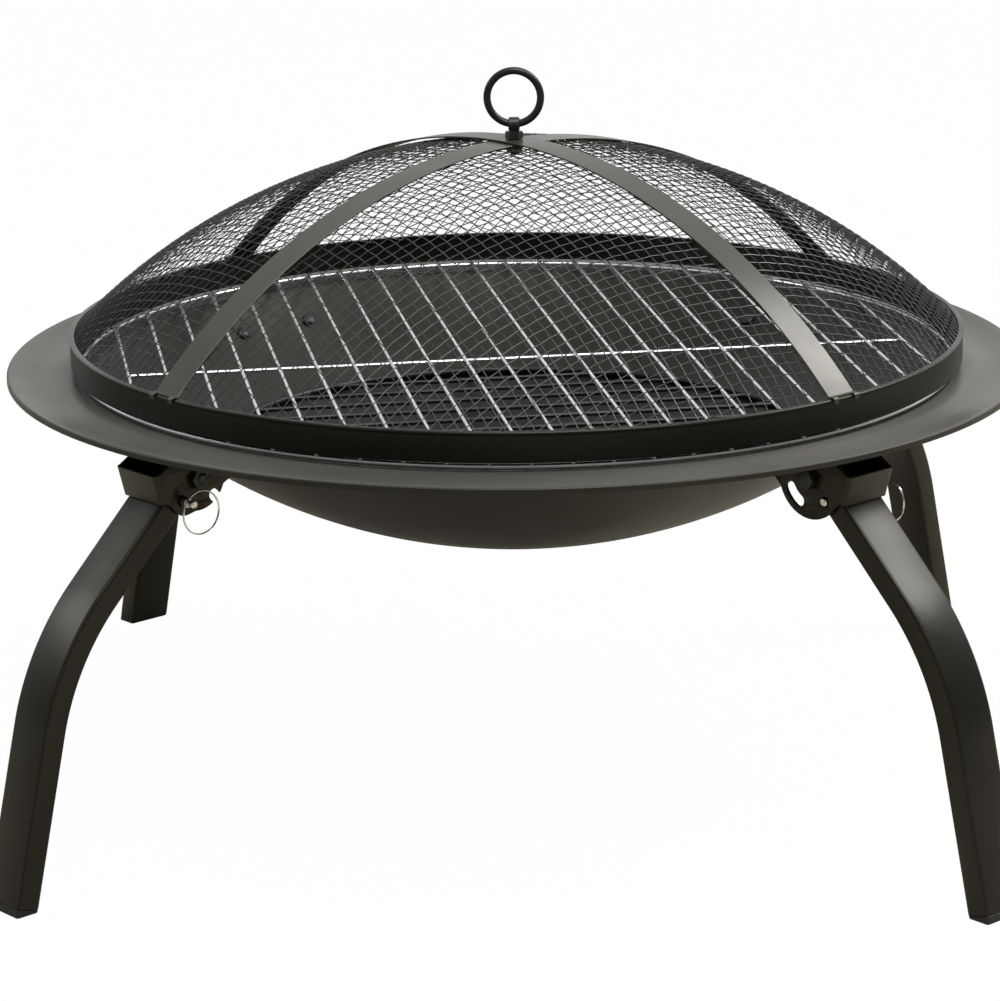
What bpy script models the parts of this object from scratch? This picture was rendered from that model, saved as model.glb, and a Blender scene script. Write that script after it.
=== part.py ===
"""A portable steel fire pit: bowl, coal grate, cooking grid, lift-off mesh dome and four folding legs.

Metres, +Z up, origin on the floor under the bowl's axis. Each leg's pieces are modelled once, in a
frame whose X points away from the axis, whose Y points anticlockwise and whose origin is the leg's
pivot, and then set at the four corners.
"""
import math

import bmesh
import bpy
from mathutils import Matrix, Vector

# Clearances between neighbouring solids
GAP = 0.0003
SHEET_GAP = 0.0006
STRAP_GAP = 0.00045
WELD = 0.00001

# Fineness of the curved shapes
BOLT_SIDES = 12
SHARP_ANGLE = math.radians(35)

# Fire bowl, pressed from one sheet: a dish, a level ledge for the grid and a sagging flange
RIM_RADIUS = 0.380
RIM_HEIGHT = 0.313
BOWL_RADIUS = 0.310
BOWL_TOP = RIM_HEIGHT - 0.006
BOWL_DEPTH = 0.128
BOWL_SHEET = 0.0012
LEDGE_DROP = 0.002
LEDGE_RADIUS = 0.338
LEDGE_BEND = 0.008
FLANGE_SAG = 0.005
FLANGE_SAG_RADIUS = 0.356
HEM_BEND = 0.0015
HEM_HEIGHT = 0.0042
BOWL_STEPS = 48

# Coal grate, lying in the dish
COAL_RING_RADIUS = 0.226
COAL_ROD = 0.006
COAL_BAR = 0.0036
COAL_CROSS = 0.004
COAL_BAR_LIFT = 0.0009
COAL_CROSS_DROP = 0.00133
COAL_PITCH = 0.032
COAL_EDGE = 0.5
COAL_TURN = math.radians(12)

# Cooking grid, lying on the ledge
GRID_RING_RADIUS = 0.326
GRID_ROD = 0.0045
GRID_WIRE = 0.0025
GRID_PITCH = 0.0278
GRID_WIRES = 22
GRID_WIRE_REACH = 0.0018
GRID_CROSS = 0.003
GRID_CROSS_SHIFT = -0.017
GRID_CROSS_SHORT = 0.034
GRID_TURN = math.radians(11.4)
WELD_DEPTH = 0.0008

# Dome: a rolled skirt, a mesh cap and two crossing straps
SKIRT_RADIUS = 0.3325
SKIRT_HEIGHT = 0.0213
SKIRT_SHEET = 0.001
SKIRT_FOOT = 0.0085
SKIRT_LIP = 0.0095
BEAD_RADIUS = 0.0015
BEAD_SINK = 0.0003
MESH_RADIUS = 0.3265
MESH_RISE = 0.1333
MESH_THICKNESS = 0.001
DOME_STEPS = 48
DOME_RINGS = 6
STRAP_WIDTH = 0.025
STRAP_THICKNESS = 0.0012
STRAP_STEPS = 16
STRAP_CLAW_DROP = 0.0045
STRAP_CLAW_WIDTH = 0.006

# Handle: a ring in an eye bolt that holds the straps and the mesh between two nuts
SHANK = 0.007
SHANK_BELOW_NUT = 0.0015
NUT_ACROSS = 0.013
NUT_HEIGHT = 0.0055
EYE_RADIUS = 0.0051
EYE_HOLE = 0.0034
EYE_LENGTH = 0.0065
HANDLE_RADIUS = 0.01975
HANDLE_WIRE = 0.0055

# Legs: bent rectangular tube on a pivot bolt
LEG_AZIMUTHS = {"front_left": 225, "front_right": 315, "rear_right": 45, "rear_left": 135}
PIVOT_RADIUS = 0.3215
PIVOT_HEIGHT = RIM_HEIGHT - 0.030
TUBE_WIDTH = 0.038
TUBE_DEPTH = 0.018
TUBE_WALL = 0.0015
TUBE_CORNER = 0.0025
TUBE_END = 0.012
TUBE_SHIFT = 0.0015
UPPER_RUN = 0.106
UPPER_SLOPE = math.radians(44)
LOWER_LEAN = math.radians(13.6)
LEG_BEND = 0.180
BEND_STEPS = 6
PLUG_FLOOR = 0.004
PLUG_HEIGHT = 0.020
PLUG_OVERLAP = 0.0012

# Bracket: a channel whose ears carry the pivot, with a tab on each side bolted to the bowl
BRACKET_INSIDE = 0.041
BRACKET_PLATE = 0.002
LOBE_RADIUS = 0.029
LOBE_FROM = math.radians(-35)
LOBE_TO = math.radians(-160)
EAR_TOP_DROP = 0.013
EAR_SHOULDER = 0.0185
EAR_FOOT_RADIUS = 0.285
WEB_TOP = (0.0356, 0.0074)
WEB_REACH = 0.031
WEB_CLEARANCE = 0.0004
TAB_END = 0.045
TAB_HALF_HEIGHT = 0.010

# Fasteners: pivot bolt, mount bolts and the locking pin with its pull ring
PIVOT_BOLT = 0.008
PIVOT_HEAD_HEIGHT = 0.0053
PIVOT_NUT_HEIGHT = 0.004
BOLT_PAST_NUT = 0.0012
MOUNT_BOLT = 0.006
MOUNT_SPREAD = 0.034
MOUNT_RADIUS = 0.2885
MOUNT_HEAD_RADIUS = 0.0055
MOUNT_HEAD_HEIGHT = 0.0032
MOUNT_NUT_ACROSS = 0.010
MOUNT_NUT_HEIGHT = 0.0046
PIN_ORBIT = 0.0198
PIN_START = math.radians(-45)
FOLD_RANGE = math.radians(90)
PIN_DIAMETER = 0.006
PIN_POKE = 0.0015
PIN_COLLAR_RADIUS = 0.0045
PIN_COLLAR = 0.0065
PIN_NECK_RADIUS = 0.0018
PIN_HEAD_RADIUS = 0.0042
PIN_HEAD = 0.0042
RING_RADIUS = 0.0155
RING_WIRE = 0.0018
RING_HANG = {
    "front_left": math.radians(-138.5),
    "front_right": math.radians(-33),
    "rear_right": math.radians(-90),
    "rear_left": math.radians(-90),
}

# Places that follow from the sizes above
BOWL_SPHERE = (BOWL_RADIUS ** 2 + BOWL_DEPTH ** 2) / (2 * BOWL_DEPTH)
BOWL_CENTRE = BOWL_TOP - BOWL_DEPTH + BOWL_SPHERE
LEDGE_HEIGHT = RIM_HEIGHT - LEDGE_DROP
GRID_RING_HEIGHT = LEDGE_HEIGHT + GAP + GRID_ROD / 2
GRID_WIRE_HEIGHT = GRID_RING_HEIGHT + GRID_ROD / 2 + GRID_WIRE / 2 - WELD_DEPTH
SKIRT_BOTTOM = GRID_WIRE_HEIGHT + GRID_WIRE / 2 + GAP
SKIRT_TOP = SKIRT_BOTTOM + SKIRT_HEIGHT
MESH_BOTTOM = SKIRT_TOP + GAP
MESH_SPHERE = (MESH_RADIUS ** 2 + MESH_RISE ** 2) / (2 * MESH_RISE)
MESH_CENTRE = MESH_BOTTOM + MESH_RISE - MESH_SPHERE
MESH_TOP = MESH_BOTTOM + MESH_RISE + MESH_THICKNESS
STRAP_A_BASE = MESH_TOP + STRAP_GAP
STRAP_B_BASE = STRAP_A_BASE + STRAP_THICKNESS + GAP
TOP_NUT_BASE = STRAP_B_BASE + STRAP_THICKNESS + GAP
EYE_HEIGHT = TOP_NUT_BASE + NUT_HEIGHT + GAP + EYE_RADIUS
BOTTOM_NUT_TOP = MESH_TOP - MESH_THICKNESS - GAP
EAR_OUTSIDE = BRACKET_INSIDE / 2 + BRACKET_PLATE
EAR_MIDDLE = BRACKET_INSIDE / 2 + BRACKET_PLATE / 2
COAL_ANGLE = math.asin(COAL_RING_RADIUS / (BOWL_SPHERE - BOWL_SHEET - GAP - COAL_ROD / 2))
MOUNT_ANGLE = math.asin(MOUNT_RADIUS / BOWL_SPHERE)

# Finishes: colour, roughness, metallic
PAINT = ((0.022, 0.021, 0.020), 0.42, 0.0)
BLACK = ((0.012, 0.012, 0.012), 0.55, 0.0)
CHROME = ((0.62, 0.63, 0.65), 0.18, 1.0)
MESH_BLACK = ((0.016, 0.016, 0.017), 0.5, 0.3)
IRON = ((0.014, 0.013, 0.012), 0.62, 0.2)
NICKEL = ((0.60, 0.58, 0.54), 0.28, 1.0)
BLACK_ZINC = ((0.03, 0.03, 0.032), 0.38, 0.8)
PLASTIC = ((0.010, 0.010, 0.010), 0.6, 0.0)


def clear_scene():
    """Empties the scene."""
    for old in list(bpy.data.objects):
        bpy.data.objects.remove(old, do_unlink=True)


def polar(radius, angle):
    """A point on a circle about the origin, as across and up."""
    return Vector((radius * math.cos(angle), radius * math.sin(angle)))


def spread(start, end, steps):
    """Evenly spaced values from start to end, both included."""
    return [start + (end - start) * i / steps for i in range(steps + 1)]


def tidy(mesh):
    """Welds a mesh and turns its faces out."""
    bm = bmesh.new()
    bm.from_mesh(mesh)
    bmesh.ops.remove_doubles(bm, verts=bm.verts, dist=WELD)
    bmesh.ops.recalc_face_normals(bm, faces=bm.faces)
    bm.to_mesh(mesh)
    bm.free()
    return mesh


def baked(work, helpers=()):
    """Turns a working object and its modifiers into a plain mesh and removes the objects."""
    bpy.context.view_layer.update()
    seen = work.evaluated_get(bpy.context.evaluated_depsgraph_get())
    mesh = bpy.data.meshes.new_from_object(seen)
    mesh.transform(work.matrix_world)
    for done in (work, *helpers):
        bpy.data.objects.remove(done, do_unlink=True)
    return tidy(mesh)


def working(data, matrix=None):
    """A temporary object."""
    work = bpy.data.objects.new("work", data)
    bpy.context.scene.collection.objects.link(work)
    if matrix:
        work.matrix_world = matrix
    return work


def combined(base, others, operation):
    """A mesh joined with others or cut by them."""
    work = working(base)
    helpers = []
    for other in others:
        helper = working(other)
        step = work.modifiers.new("step", "BOOLEAN")
        step.operation = operation
        step.object = helper
        step.solver = "EXACT"
        helpers.append(helper)
    return baked(work, helpers)


def joined(base, *others):
    return combined(base, others, "UNION")


def cut(base, *cutters):
    return combined(base, cutters, "DIFFERENCE")


def together(meshes):
    """Several meshes that don't touch, as one mesh."""
    bm = bmesh.new()
    for mesh in meshes:
        bm.from_mesh(mesh)
    merged = bpy.data.meshes.new("group")
    bm.to_mesh(merged)
    bm.free()
    return merged


def along(direction, point=(0, 0, 0)):
    """A frame at a point, with its Z along a direction."""
    turn = Vector(direction).to_track_quat("Z", "Y").to_matrix().to_4x4()
    return Matrix.Translation(point) @ turn


def turned(profile, steps, thickness=0.0):
    """A profile of radius and height turned about Z; an open one becomes a shell with a thickness."""
    bm = bmesh.new()
    points = [bm.verts.new((radius, 0, height)) for radius, height in profile]
    for first, second in zip(points, points[1:]):
        bm.edges.new((first, second))
    if not thickness and profile[0][0] > WELD:
        bm.edges.new((points[-1], points[0]))
    outline = bpy.data.meshes.new("profile")
    bm.to_mesh(outline)
    bm.free()
    work = working(outline)
    screw = work.modifiers.new("turn", "SCREW")
    screw.steps = steps
    screw.render_steps = steps
    screw.use_merge_vertices = True
    screw.merge_threshold = WELD
    if thickness:
        solidify = work.modifiers.new("sheet", "SOLIDIFY")
        solidify.thickness = thickness
        solidify.offset = 1
        solidify.use_even_offset = True
    return baked(work)


def cylinder(radius, start, end, sides, frame=None):
    """A cylinder or prism along Z from start to end, with its corners at the given radius."""
    bm = bmesh.new()
    middle = Matrix.Translation((0, 0, (start + end) / 2))
    bmesh.ops.create_cone(
        bm, cap_ends=True, segments=sides, radius1=radius, radius2=radius,
        depth=end - start, matrix=(frame or Matrix()) @ middle,
    )
    mesh = bpy.data.meshes.new("cylinder")
    bm.to_mesh(mesh)
    bm.free()
    return mesh


def hexagon(across, start, end, frame=None):
    """A hexagonal prism along Z, measured across its flats."""
    return cylinder(across / 2 / math.cos(math.pi / 6), start, end, 6, frame)


def box(low, high):
    """A block between two corners."""
    bm = bmesh.new()
    size = Vector(high) - Vector(low)
    middle = (Vector(high) + Vector(low)) / 2
    bmesh.ops.create_cube(bm, size=1, matrix=Matrix.Translation(middle) @ Matrix.Diagonal((*size, 1)))
    mesh = bpy.data.meshes.new("box")
    bm.to_mesh(mesh)
    bm.free()
    return mesh


def spline(curve, points, cyclic):
    """Adds straight runs between points to a curve."""
    run = curve.splines.new("POLY")
    run.points.add(len(points) - 1)
    for place, point in zip(run.points, points):
        place.co = (*point, 1)
    run.use_cyclic_u = cyclic


def wire(runs, diameter, cyclic=False, resolution=1):
    """Round wires along runs of points; resolution 1 gives six sides."""
    curve = bpy.data.curves.new("wire", "CURVE")
    curve.dimensions = "3D"
    curve.bevel_depth = diameter / 2
    curve.bevel_resolution = resolution
    curve.use_fill_caps = True
    for points in runs:
        spline(curve, points, cyclic)
    return baked(working(curve))


def loop(radius, height, sides):
    """Points of a level circle."""
    return [(*polar(radius, math.tau * i / sides), height) for i in range(sides)]


def plate(outline, width, middle=0.0):
    """An outline in the leg's upright XZ plane, given a width along Y about a middle."""
    curve = bpy.data.curves.new("plate", "CURVE")
    curve.dimensions = "2D"
    curve.fill_mode = "BOTH"
    curve.extrude = width / 2
    spline(curve, [(x, z, 0) for x, z in outline], True)
    upright = Matrix.Translation((0, middle, 0)) @ Matrix.Rotation(math.pi / 2, 4, "X")
    return baked(working(curve, upright))


def section(width, depth, corner):
    """A rectangular tube's outline, with rounded corners, as a curve to sweep."""
    curve = bpy.data.curves.new("section", "CURVE")
    curve.dimensions = "2D"
    points = []
    for quarter, (sx, sy) in enumerate(((1, 1), (-1, 1), (-1, -1), (1, -1))):
        centre = Vector((sx * (width / 2 - corner), sy * (depth / 2 - corner)))
        for i in range(3):
            turn = polar(corner, (quarter + i / 2) * math.pi / 2)
            points.append((*(centre + turn), 0))
    spline(curve, points, True)
    return curve


def swept(points, width, depth, corner):
    """A rectangular bar with rounded corners along points of the XZ plane."""
    shape = working(section(width, depth, corner))
    curve = bpy.data.curves.new("sweep", "CURVE")
    curve.dimensions = "3D"
    curve.twist_mode = "Z_UP"
    curve.bevel_mode = "OBJECT"
    curve.bevel_object = shape
    curve.use_fill_caps = True
    spline(curve, points, False)
    return baked(working(curve), (shape,))


def material(name, look):
    """A Principled material for one sub-part."""
    colour, roughness, metallic = look
    finish = bpy.data.materials.new(name)
    finish.use_nodes = True
    shader = finish.node_tree.nodes["Principled BSDF"]
    shader.inputs["Base Color"].default_value = (*colour, 1)
    shader.inputs["Roughness"].default_value = roughness
    shader.inputs["Metallic"].default_value = metallic
    return finish


def add(name, mesh, finish, parent=None, place=(0, 0, 0), smooth=True):
    """Puts a finished mesh into the model as a named object."""
    if not mesh.materials:
        mesh.name = name
        mesh.materials.append(finish)
        if smooth:
            mesh.shade_smooth()
            mesh.set_sharp_from_angle(angle=SHARP_ANGLE)
    piece = bpy.data.objects.new(name, mesh)
    MODEL.objects.link(piece)
    piece.parent = parent
    piece.location = place
    return piece


def empty(name, place, azimuth=0.0, parent=None):
    """A pivot that pieces hang on."""
    pivot = bpy.data.objects.new(name, None)
    pivot.empty_display_size = 0.02
    pivot.location = place
    pivot.rotation_euler = (0, 0, azimuth)
    pivot.parent = parent
    MODEL.objects.link(pivot)
    return pivot


def bowl_wall(angle, lift=0.0, side=0.0):
    """A point outside the dish: its angle from the lowest point, its height off the sheet and its side."""
    radius = (BOWL_SPHERE + lift) * math.sin(angle)
    height = BOWL_CENTRE - (BOWL_SPHERE + lift) * math.cos(angle)
    return Vector((math.sqrt(radius ** 2 - side ** 2), side, height))


def in_leg(point):
    """A point of a leg's plane, measured from its pivot."""
    return Vector(point) - Vector((PIVOT_RADIUS, 0, PIVOT_HEIGHT))


def mount_frame(side):
    """The axis of one mount bolt: its origin on the outside of the dish and its Z pointing away."""
    foot = bowl_wall(MOUNT_ANGLE, 0, side * MOUNT_SPREAD)
    outward = foot - Vector((0, 0, BOWL_CENTRE))
    return along(outward, in_leg(foot))


def mount_hole(frame):
    """A bore for a mount bolt."""
    return cylinder(MOUNT_BOLT / 2 + GAP, -MOUNT_BOLT, MOUNT_BOLT, BOLT_SIDES, frame)


def bowl_profile():
    """The face that is inside the dish and on top of the flange, from the lowest point to the hem."""
    inside = BOWL_SPHERE - BOWL_SHEET
    end = math.acos((BOWL_CENTRE + LEDGE_BEND - LEDGE_HEIGHT) / (inside + LEDGE_BEND))
    angles = spread(0, COAL_ANGLE, 6)
    angles += spread(COAL_ANGLE, MOUNT_ANGLE, 2)[1:]
    angles += [end]
    points = [(inside * math.sin(a), BOWL_CENTRE - inside * math.cos(a)) for a in angles]
    bend = Vector(((inside + LEDGE_BEND) * math.sin(end), LEDGE_HEIGHT - LEDGE_BEND))
    points += [tuple(bend + LEDGE_BEND * Vector((-math.sin(a), math.cos(a)))) for a in (end / 2, 0)]
    points.append((LEDGE_RADIUS, LEDGE_HEIGHT))
    points.append((FLANGE_SAG_RADIUS, RIM_HEIGHT - FLANGE_SAG))
    points.append(((FLANGE_SAG_RADIUS + 2 * RIM_RADIUS) / 3, RIM_HEIGHT - FLANGE_SAG / 3))
    points.append((RIM_RADIUS - HEM_BEND, RIM_HEIGHT))
    points.append((RIM_RADIUS, RIM_HEIGHT - HEM_BEND))
    points.append((RIM_RADIUS, RIM_HEIGHT - HEM_HEIGHT))
    return points


def fire_bowl():
    """The bowl with its eight holes for the mount bolts."""
    shell = turned(bowl_profile(), BOWL_STEPS, -BOWL_SHEET)
    holes = []
    for azimuth in LEG_AZIMUTHS.values():
        corner = Matrix.Rotation(math.radians(azimuth), 4, "Z")
        corner @= Matrix.Translation((PIVOT_RADIUS, 0, PIVOT_HEIGHT))
        for side in (-1, 1):
            holes.append(mount_hole(corner @ mount_frame(side)))
    return cut(shell, together(holes))


def coal_grate():
    """A round grate of thin bars in a thick rod ring."""
    seat = BOWL_SPHERE - BOWL_SHEET - GAP - COAL_ROD / 2
    height = BOWL_CENTRE - seat * math.cos(COAL_ANGLE)
    ring = wire([loop(COAL_RING_RADIUS, height, BOWL_STEPS)], COAL_ROD, cyclic=True)
    bars = []
    count = int(COAL_RING_RADIUS / COAL_PITCH - COAL_EDGE)
    for i in range(-count, count + 1):
        across = i * COAL_PITCH
        reach = math.sqrt(COAL_RING_RADIUS ** 2 - across ** 2)
        level = height + COAL_BAR_LIFT
        bars.append([(-reach, across, level), (reach, across, level)])
    level = height - COAL_CROSS_DROP
    cross = [[(0, -COAL_RING_RADIUS, level), (0, COAL_RING_RADIUS, level)]]
    grate = joined(ring, wire(bars, COAL_BAR), wire(cross, COAL_CROSS))
    grate.transform(Matrix.Rotation(COAL_TURN, 4, "Z"))
    return grate


def cooking_grid():
    """Thin wires laid over a thicker ring, with one cross wire under them."""
    ring = wire([loop(GRID_RING_RADIUS, GRID_RING_HEIGHT, BOWL_STEPS)], GRID_ROD, cyclic=True)
    wires = []
    for i in range(GRID_WIRES):
        across = (i - (GRID_WIRES - 1) / 2) * GRID_PITCH
        reach = math.sqrt((GRID_RING_RADIUS + GRID_WIRE_REACH) ** 2 - across ** 2)
        wires.append([(across, -reach, GRID_WIRE_HEIGHT), (across, reach, GRID_WIRE_HEIGHT)])
    under = GRID_WIRE_HEIGHT - GRID_WIRE / 2 - GRID_CROSS / 2 + WELD_DEPTH
    reach = GRID_RING_RADIUS - GRID_CROSS_SHORT
    cross = [[(-reach, GRID_CROSS_SHIFT, under), (reach, GRID_CROSS_SHIFT, under)]]
    grid = joined(ring, wire(wires, GRID_WIRE), wire(cross, GRID_CROSS))
    grid.transform(Matrix.Rotation(GRID_TURN, 4, "Z"))
    return grid


def dome_skirt():
    """The rolled band: a beaded top edge, a lip for the mesh and a foot that stands on the grid."""
    bead = Vector((SKIRT_RADIUS - BEAD_SINK, SKIRT_TOP - BEAD_RADIUS))
    inner = SKIRT_RADIUS - SKIRT_SHEET
    points = [(SKIRT_RADIUS - SKIRT_LIP, SKIRT_TOP)]
    points += [tuple(bead + polar(BEAD_RADIUS, a)) for a in spread(math.pi / 2, -math.pi / 2, 4)]
    points.append((SKIRT_RADIUS, SKIRT_BOTTOM + SKIRT_SHEET))
    points.append((inner, SKIRT_BOTTOM))
    points.append((SKIRT_RADIUS - SKIRT_FOOT, SKIRT_BOTTOM))
    points.append((SKIRT_RADIUS - SKIRT_FOOT, SKIRT_BOTTOM + SKIRT_SHEET))
    points.append((inner, SKIRT_BOTTOM + SKIRT_SHEET))
    points.append((inner, SKIRT_TOP - SKIRT_SHEET))
    points.append((SKIRT_RADIUS - SKIRT_LIP, SKIRT_TOP - SKIRT_SHEET))
    return turned(points, DOME_STEPS)


def dome_mesh():
    """The mesh cap, with a hole at its top for the eye bolt."""
    edge = math.asin(MESH_RADIUS / MESH_SPHERE)
    hole = math.asin((SHANK / 2 + GAP) / MESH_SPHERE)
    points = [(MESH_SPHERE * math.sin(a), MESH_CENTRE + MESH_SPHERE * math.cos(a))
              for a in spread(hole, edge, DOME_RINGS)]
    return turned(points, DOME_STEPS, MESH_THICKNESS)


def strap_landing():
    """The radius where a strap reaches the skirt's top."""
    sphere = MESH_SPHERE + MESH_THICKNESS + STRAP_GAP
    return math.sqrt(sphere ** 2 - (MESH_BOTTOM - MESH_CENTRE) ** 2)


def strap_half(base):
    """Half a strap's side outline: its lower face out to the claw, and its upper face back in."""
    landing = strap_landing()
    rise = base - MESH_BOTTOM
    arc = (landing ** 2 + rise ** 2) / (2 * rise)
    centre = base - arc
    claw = SKIRT_RADIUS - BEAD_SINK + BEAD_RADIUS + GAP + GAP
    over = MESH_BOTTOM + STRAP_THICKNESS
    lower = [(arc * math.sin(a), centre + arc * math.cos(a))
             for a in spread(0, math.asin(landing / arc), STRAP_STEPS)]
    outer = arc + STRAP_THICKNESS
    upper = [(outer * math.sin(a), centre + outer * math.cos(a))
             for a in spread(math.acos((over - centre) / outer), 0, STRAP_STEPS)]
    low = SKIRT_TOP - STRAP_CLAW_DROP
    claws = [(claw, MESH_BOTTOM), (claw, low), (claw + STRAP_THICKNESS, low), (claw + STRAP_THICKNESS, over)]
    return lower + claws, upper


def strap(base, azimuth):
    """A flat strap over the dome, ending in two small claws over the bead on each side."""
    lower, upper = strap_half(base)
    right = lower + upper
    left = [(-x, z) for x, z in reversed(right)]
    bar = plate(right[:-1] + left[:-1], STRAP_WIDTH)
    half = STRAP_WIDTH / 2 - STRAP_CLAW_WIDTH
    reach = SKIRT_RADIUS + STRAP_WIDTH
    near = SKIRT_RADIUS - BEAD_SINK
    top = MESH_BOTTOM - GAP
    gaps = [box((near, -half, top - STRAP_WIDTH), (reach, half, top)),
            box((-reach, -half, top - STRAP_WIDTH), (-near, half, top))]
    hole = cylinder(SHANK / 2 + GAP, base - STRAP_WIDTH, base + STRAP_WIDTH, BOLT_SIDES)
    finished = cut(bar, together(gaps), hole)
    finished.transform(Matrix.Rotation(azimuth, 4, "Z"))
    return finished


def handle_eye():
    """The eye bolt: a drilled head across X on a plain shank."""
    side = along((1, 0, 0), (0, 0, EYE_HEIGHT))
    head = cylinder(EYE_RADIUS, -EYE_LENGTH / 2, EYE_LENGTH / 2, 16, side)
    low = BOTTOM_NUT_TOP - NUT_HEIGHT - SHANK_BELOW_NUT
    shank = cylinder(SHANK / 2, low, EYE_HEIGHT - EYE_RADIUS / 2 - EYE_HOLE / 2, BOLT_SIDES)
    hole = cylinder(EYE_HOLE, -EYE_LENGTH, EYE_LENGTH, BOLT_SIDES, side)
    return cut(joined(head, shank), hole)


def nut(across, bore, start, end, frame=None):
    """A hexagonal nut with a plain bore."""
    hole = cylinder(bore / 2 + GAP, start - across, end + across, BOLT_SIDES, frame)
    return cut(hexagon(across, start, end, frame), hole)


def handle_ring():
    """The lifting ring, upright, with its lowest wire on the hinge axis."""
    centre = Vector((0, HANDLE_RADIUS))
    points = [centre + polar(HANDLE_RADIUS, math.tau * i / 28 - math.pi / 2) for i in range(28)]
    return wire([[(x, 0, z) for x, z in points]], HANDLE_WIRE, cyclic=True, resolution=2)


def leg_path(start, end_height, end_past=0.0):
    """Points of the leg's centre line in its own plane, from a place above the pivot down to a height."""
    slope = Vector((math.cos(UPPER_SLOPE), -math.sin(UPPER_SLOPE)))
    normal = Vector((math.sin(UPPER_SLOPE), math.cos(UPPER_SLOPE)))
    origin = normal * TUBE_SHIFT
    centre = origin + slope * UPPER_RUN - normal * LEG_BEND
    last = math.pi / 2 - LOWER_LEAN
    points = [origin + slope * start]
    points += [centre + LEG_BEND * Vector((math.sin(a), math.cos(a)))
               for a in spread(UPPER_SLOPE, last, BEND_STEPS)]
    down = Vector((math.cos(last), -math.sin(last)))
    run = (points[-1].y + PIVOT_HEIGHT - end_height) / math.sin(last) + end_past
    points.append(points[-1] + down * run)
    return [(x, 0, z) for x, z in points]


def pin_hole(width):
    """A bore across the leg for the locking pin."""
    place = polar(PIN_ORBIT, PIN_START)
    frame = along((0, 1, 0), (place.x, 0, place.y))
    return cylinder(PIN_DIAMETER / 2 + GAP, -width, width, BOLT_SIDES, frame)


def pivot_hole(width):
    """A bore across the leg for the pivot bolt."""
    return cylinder(PIVOT_BOLT / 2 + GAP, -width, width, BOLT_SIDES, along((0, 1, 0)))


def leg_tube():
    """The bent tube, open at both ends, drilled for the pivot bolt and the locking pin."""
    outside = swept(leg_path(-TUBE_END, PLUG_FLOOR), TUBE_WIDTH, TUBE_DEPTH, TUBE_CORNER)
    hollow = swept(
        leg_path(-2 * TUBE_END, PLUG_FLOOR, TUBE_END), TUBE_WIDTH - 2 * TUBE_WALL,
        TUBE_DEPTH - 2 * TUBE_WALL, TUBE_CORNER - TUBE_WALL,
    )
    return cut(outside, hollow, pivot_hole(TUBE_WIDTH), pin_hole(TUBE_WIDTH))


def foot_cap():
    """The plastic plug in the tube's end, as wide as the tube and cut level where it stands on the floor."""
    run = leg_path(0, PLUG_FLOOR, PLUG_HEIGHT)
    last = Vector(run[-1])
    down = (last - Vector(run[-2])).normalized()
    end = last - down * PLUG_HEIGHT
    foot = swept([tuple(end + down * GAP), tuple(last)], TUBE_WIDTH, TUBE_DEPTH, TUBE_CORNER)
    less = 2 * (TUBE_WALL + GAP)
    spigot = swept(
        [tuple(end - down * PLUG_HEIGHT), tuple(end + down * PLUG_OVERLAP)], TUBE_WIDTH - less,
        TUBE_DEPTH - less, TUBE_CORNER - TUBE_WALL,
    )
    reach = 2 * TUBE_WIDTH
    floor = box((end.x - reach, -reach, -PIVOT_HEIGHT - reach), (end.x + reach, reach, -PIVOT_HEIGHT))
    return cut(joined(foot, spigot), floor)


def ear_outline():
    """The bracket's side outline: web, sloping top, the edge along the bowl and the round lobe."""
    slope = Vector((math.cos(UPPER_SLOPE), -math.sin(UPPER_SLOPE)))
    normal = Vector((math.sin(UPPER_SLOPE), math.cos(UPPER_SLOPE)))
    inner_top = Vector(WEB_TOP)
    inner_bottom = slope * WEB_REACH + normal * (TUBE_SHIFT + TUBE_DEPTH / 2 + WEB_CLEARANCE)
    up = (inner_top - inner_bottom).normalized()
    out = Vector((up.y, -up.x)) * BRACKET_PLATE
    outer_bottom = inner_bottom + slope * BRACKET_PLATE ** 2 / slope.dot(out)
    top = RIM_HEIGHT - EAR_TOP_DROP
    lift = GAP + BRACKET_PLATE / 2
    sphere = BOWL_SPHERE + lift
    first = math.acos((BOWL_CENTRE - top) / sphere)
    last = math.asin(EAR_FOOT_RADIUS / sphere)
    wall = [in_leg(bowl_wall(a, lift, EAR_MIDDLE)) for a in spread(first, last, 3)]
    notch = inner_bottom - slope * BRACKET_PLATE
    outline = [tuple(notch), tuple(outer_bottom), tuple(inner_top + out)]
    outline.append((EAR_SHOULDER, top - PIVOT_HEIGHT))
    outline += [(p.x, p.z) for p in wall]
    outline += [tuple(polar(LOBE_RADIUS, a)) for a in spread(LOBE_TO, LOBE_FROM, 7)]
    far = 2 * LOBE_RADIUS
    inside = [tuple(inner_bottom - up * far), tuple(inner_top + up * far), (-far, 2 * far), (-far, -2 * far)]
    return outline, inside


def slot_outline():
    """The curved slot that the locking pin travels along, about the pivot."""
    half = PIN_DIAMETER / 2 + GAP
    end = PIN_START - FOLD_RANGE
    outer = [polar(PIN_ORBIT + half, a) for a in spread(PIN_START, end, 6)]
    inner = [polar(PIN_ORBIT - half, a) for a in spread(end, PIN_START, 6)]
    first = [polar(PIN_ORBIT, PIN_START) + polar(half, a)
             for a in spread(PIN_START + math.pi, PIN_START, 4)[1:-1]]
    last = [polar(PIN_ORBIT, end) + polar(half, a) for a in spread(end, end - math.pi, 4)[1:-1]]
    return [tuple(p) for p in outer + last + inner + first]


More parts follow.
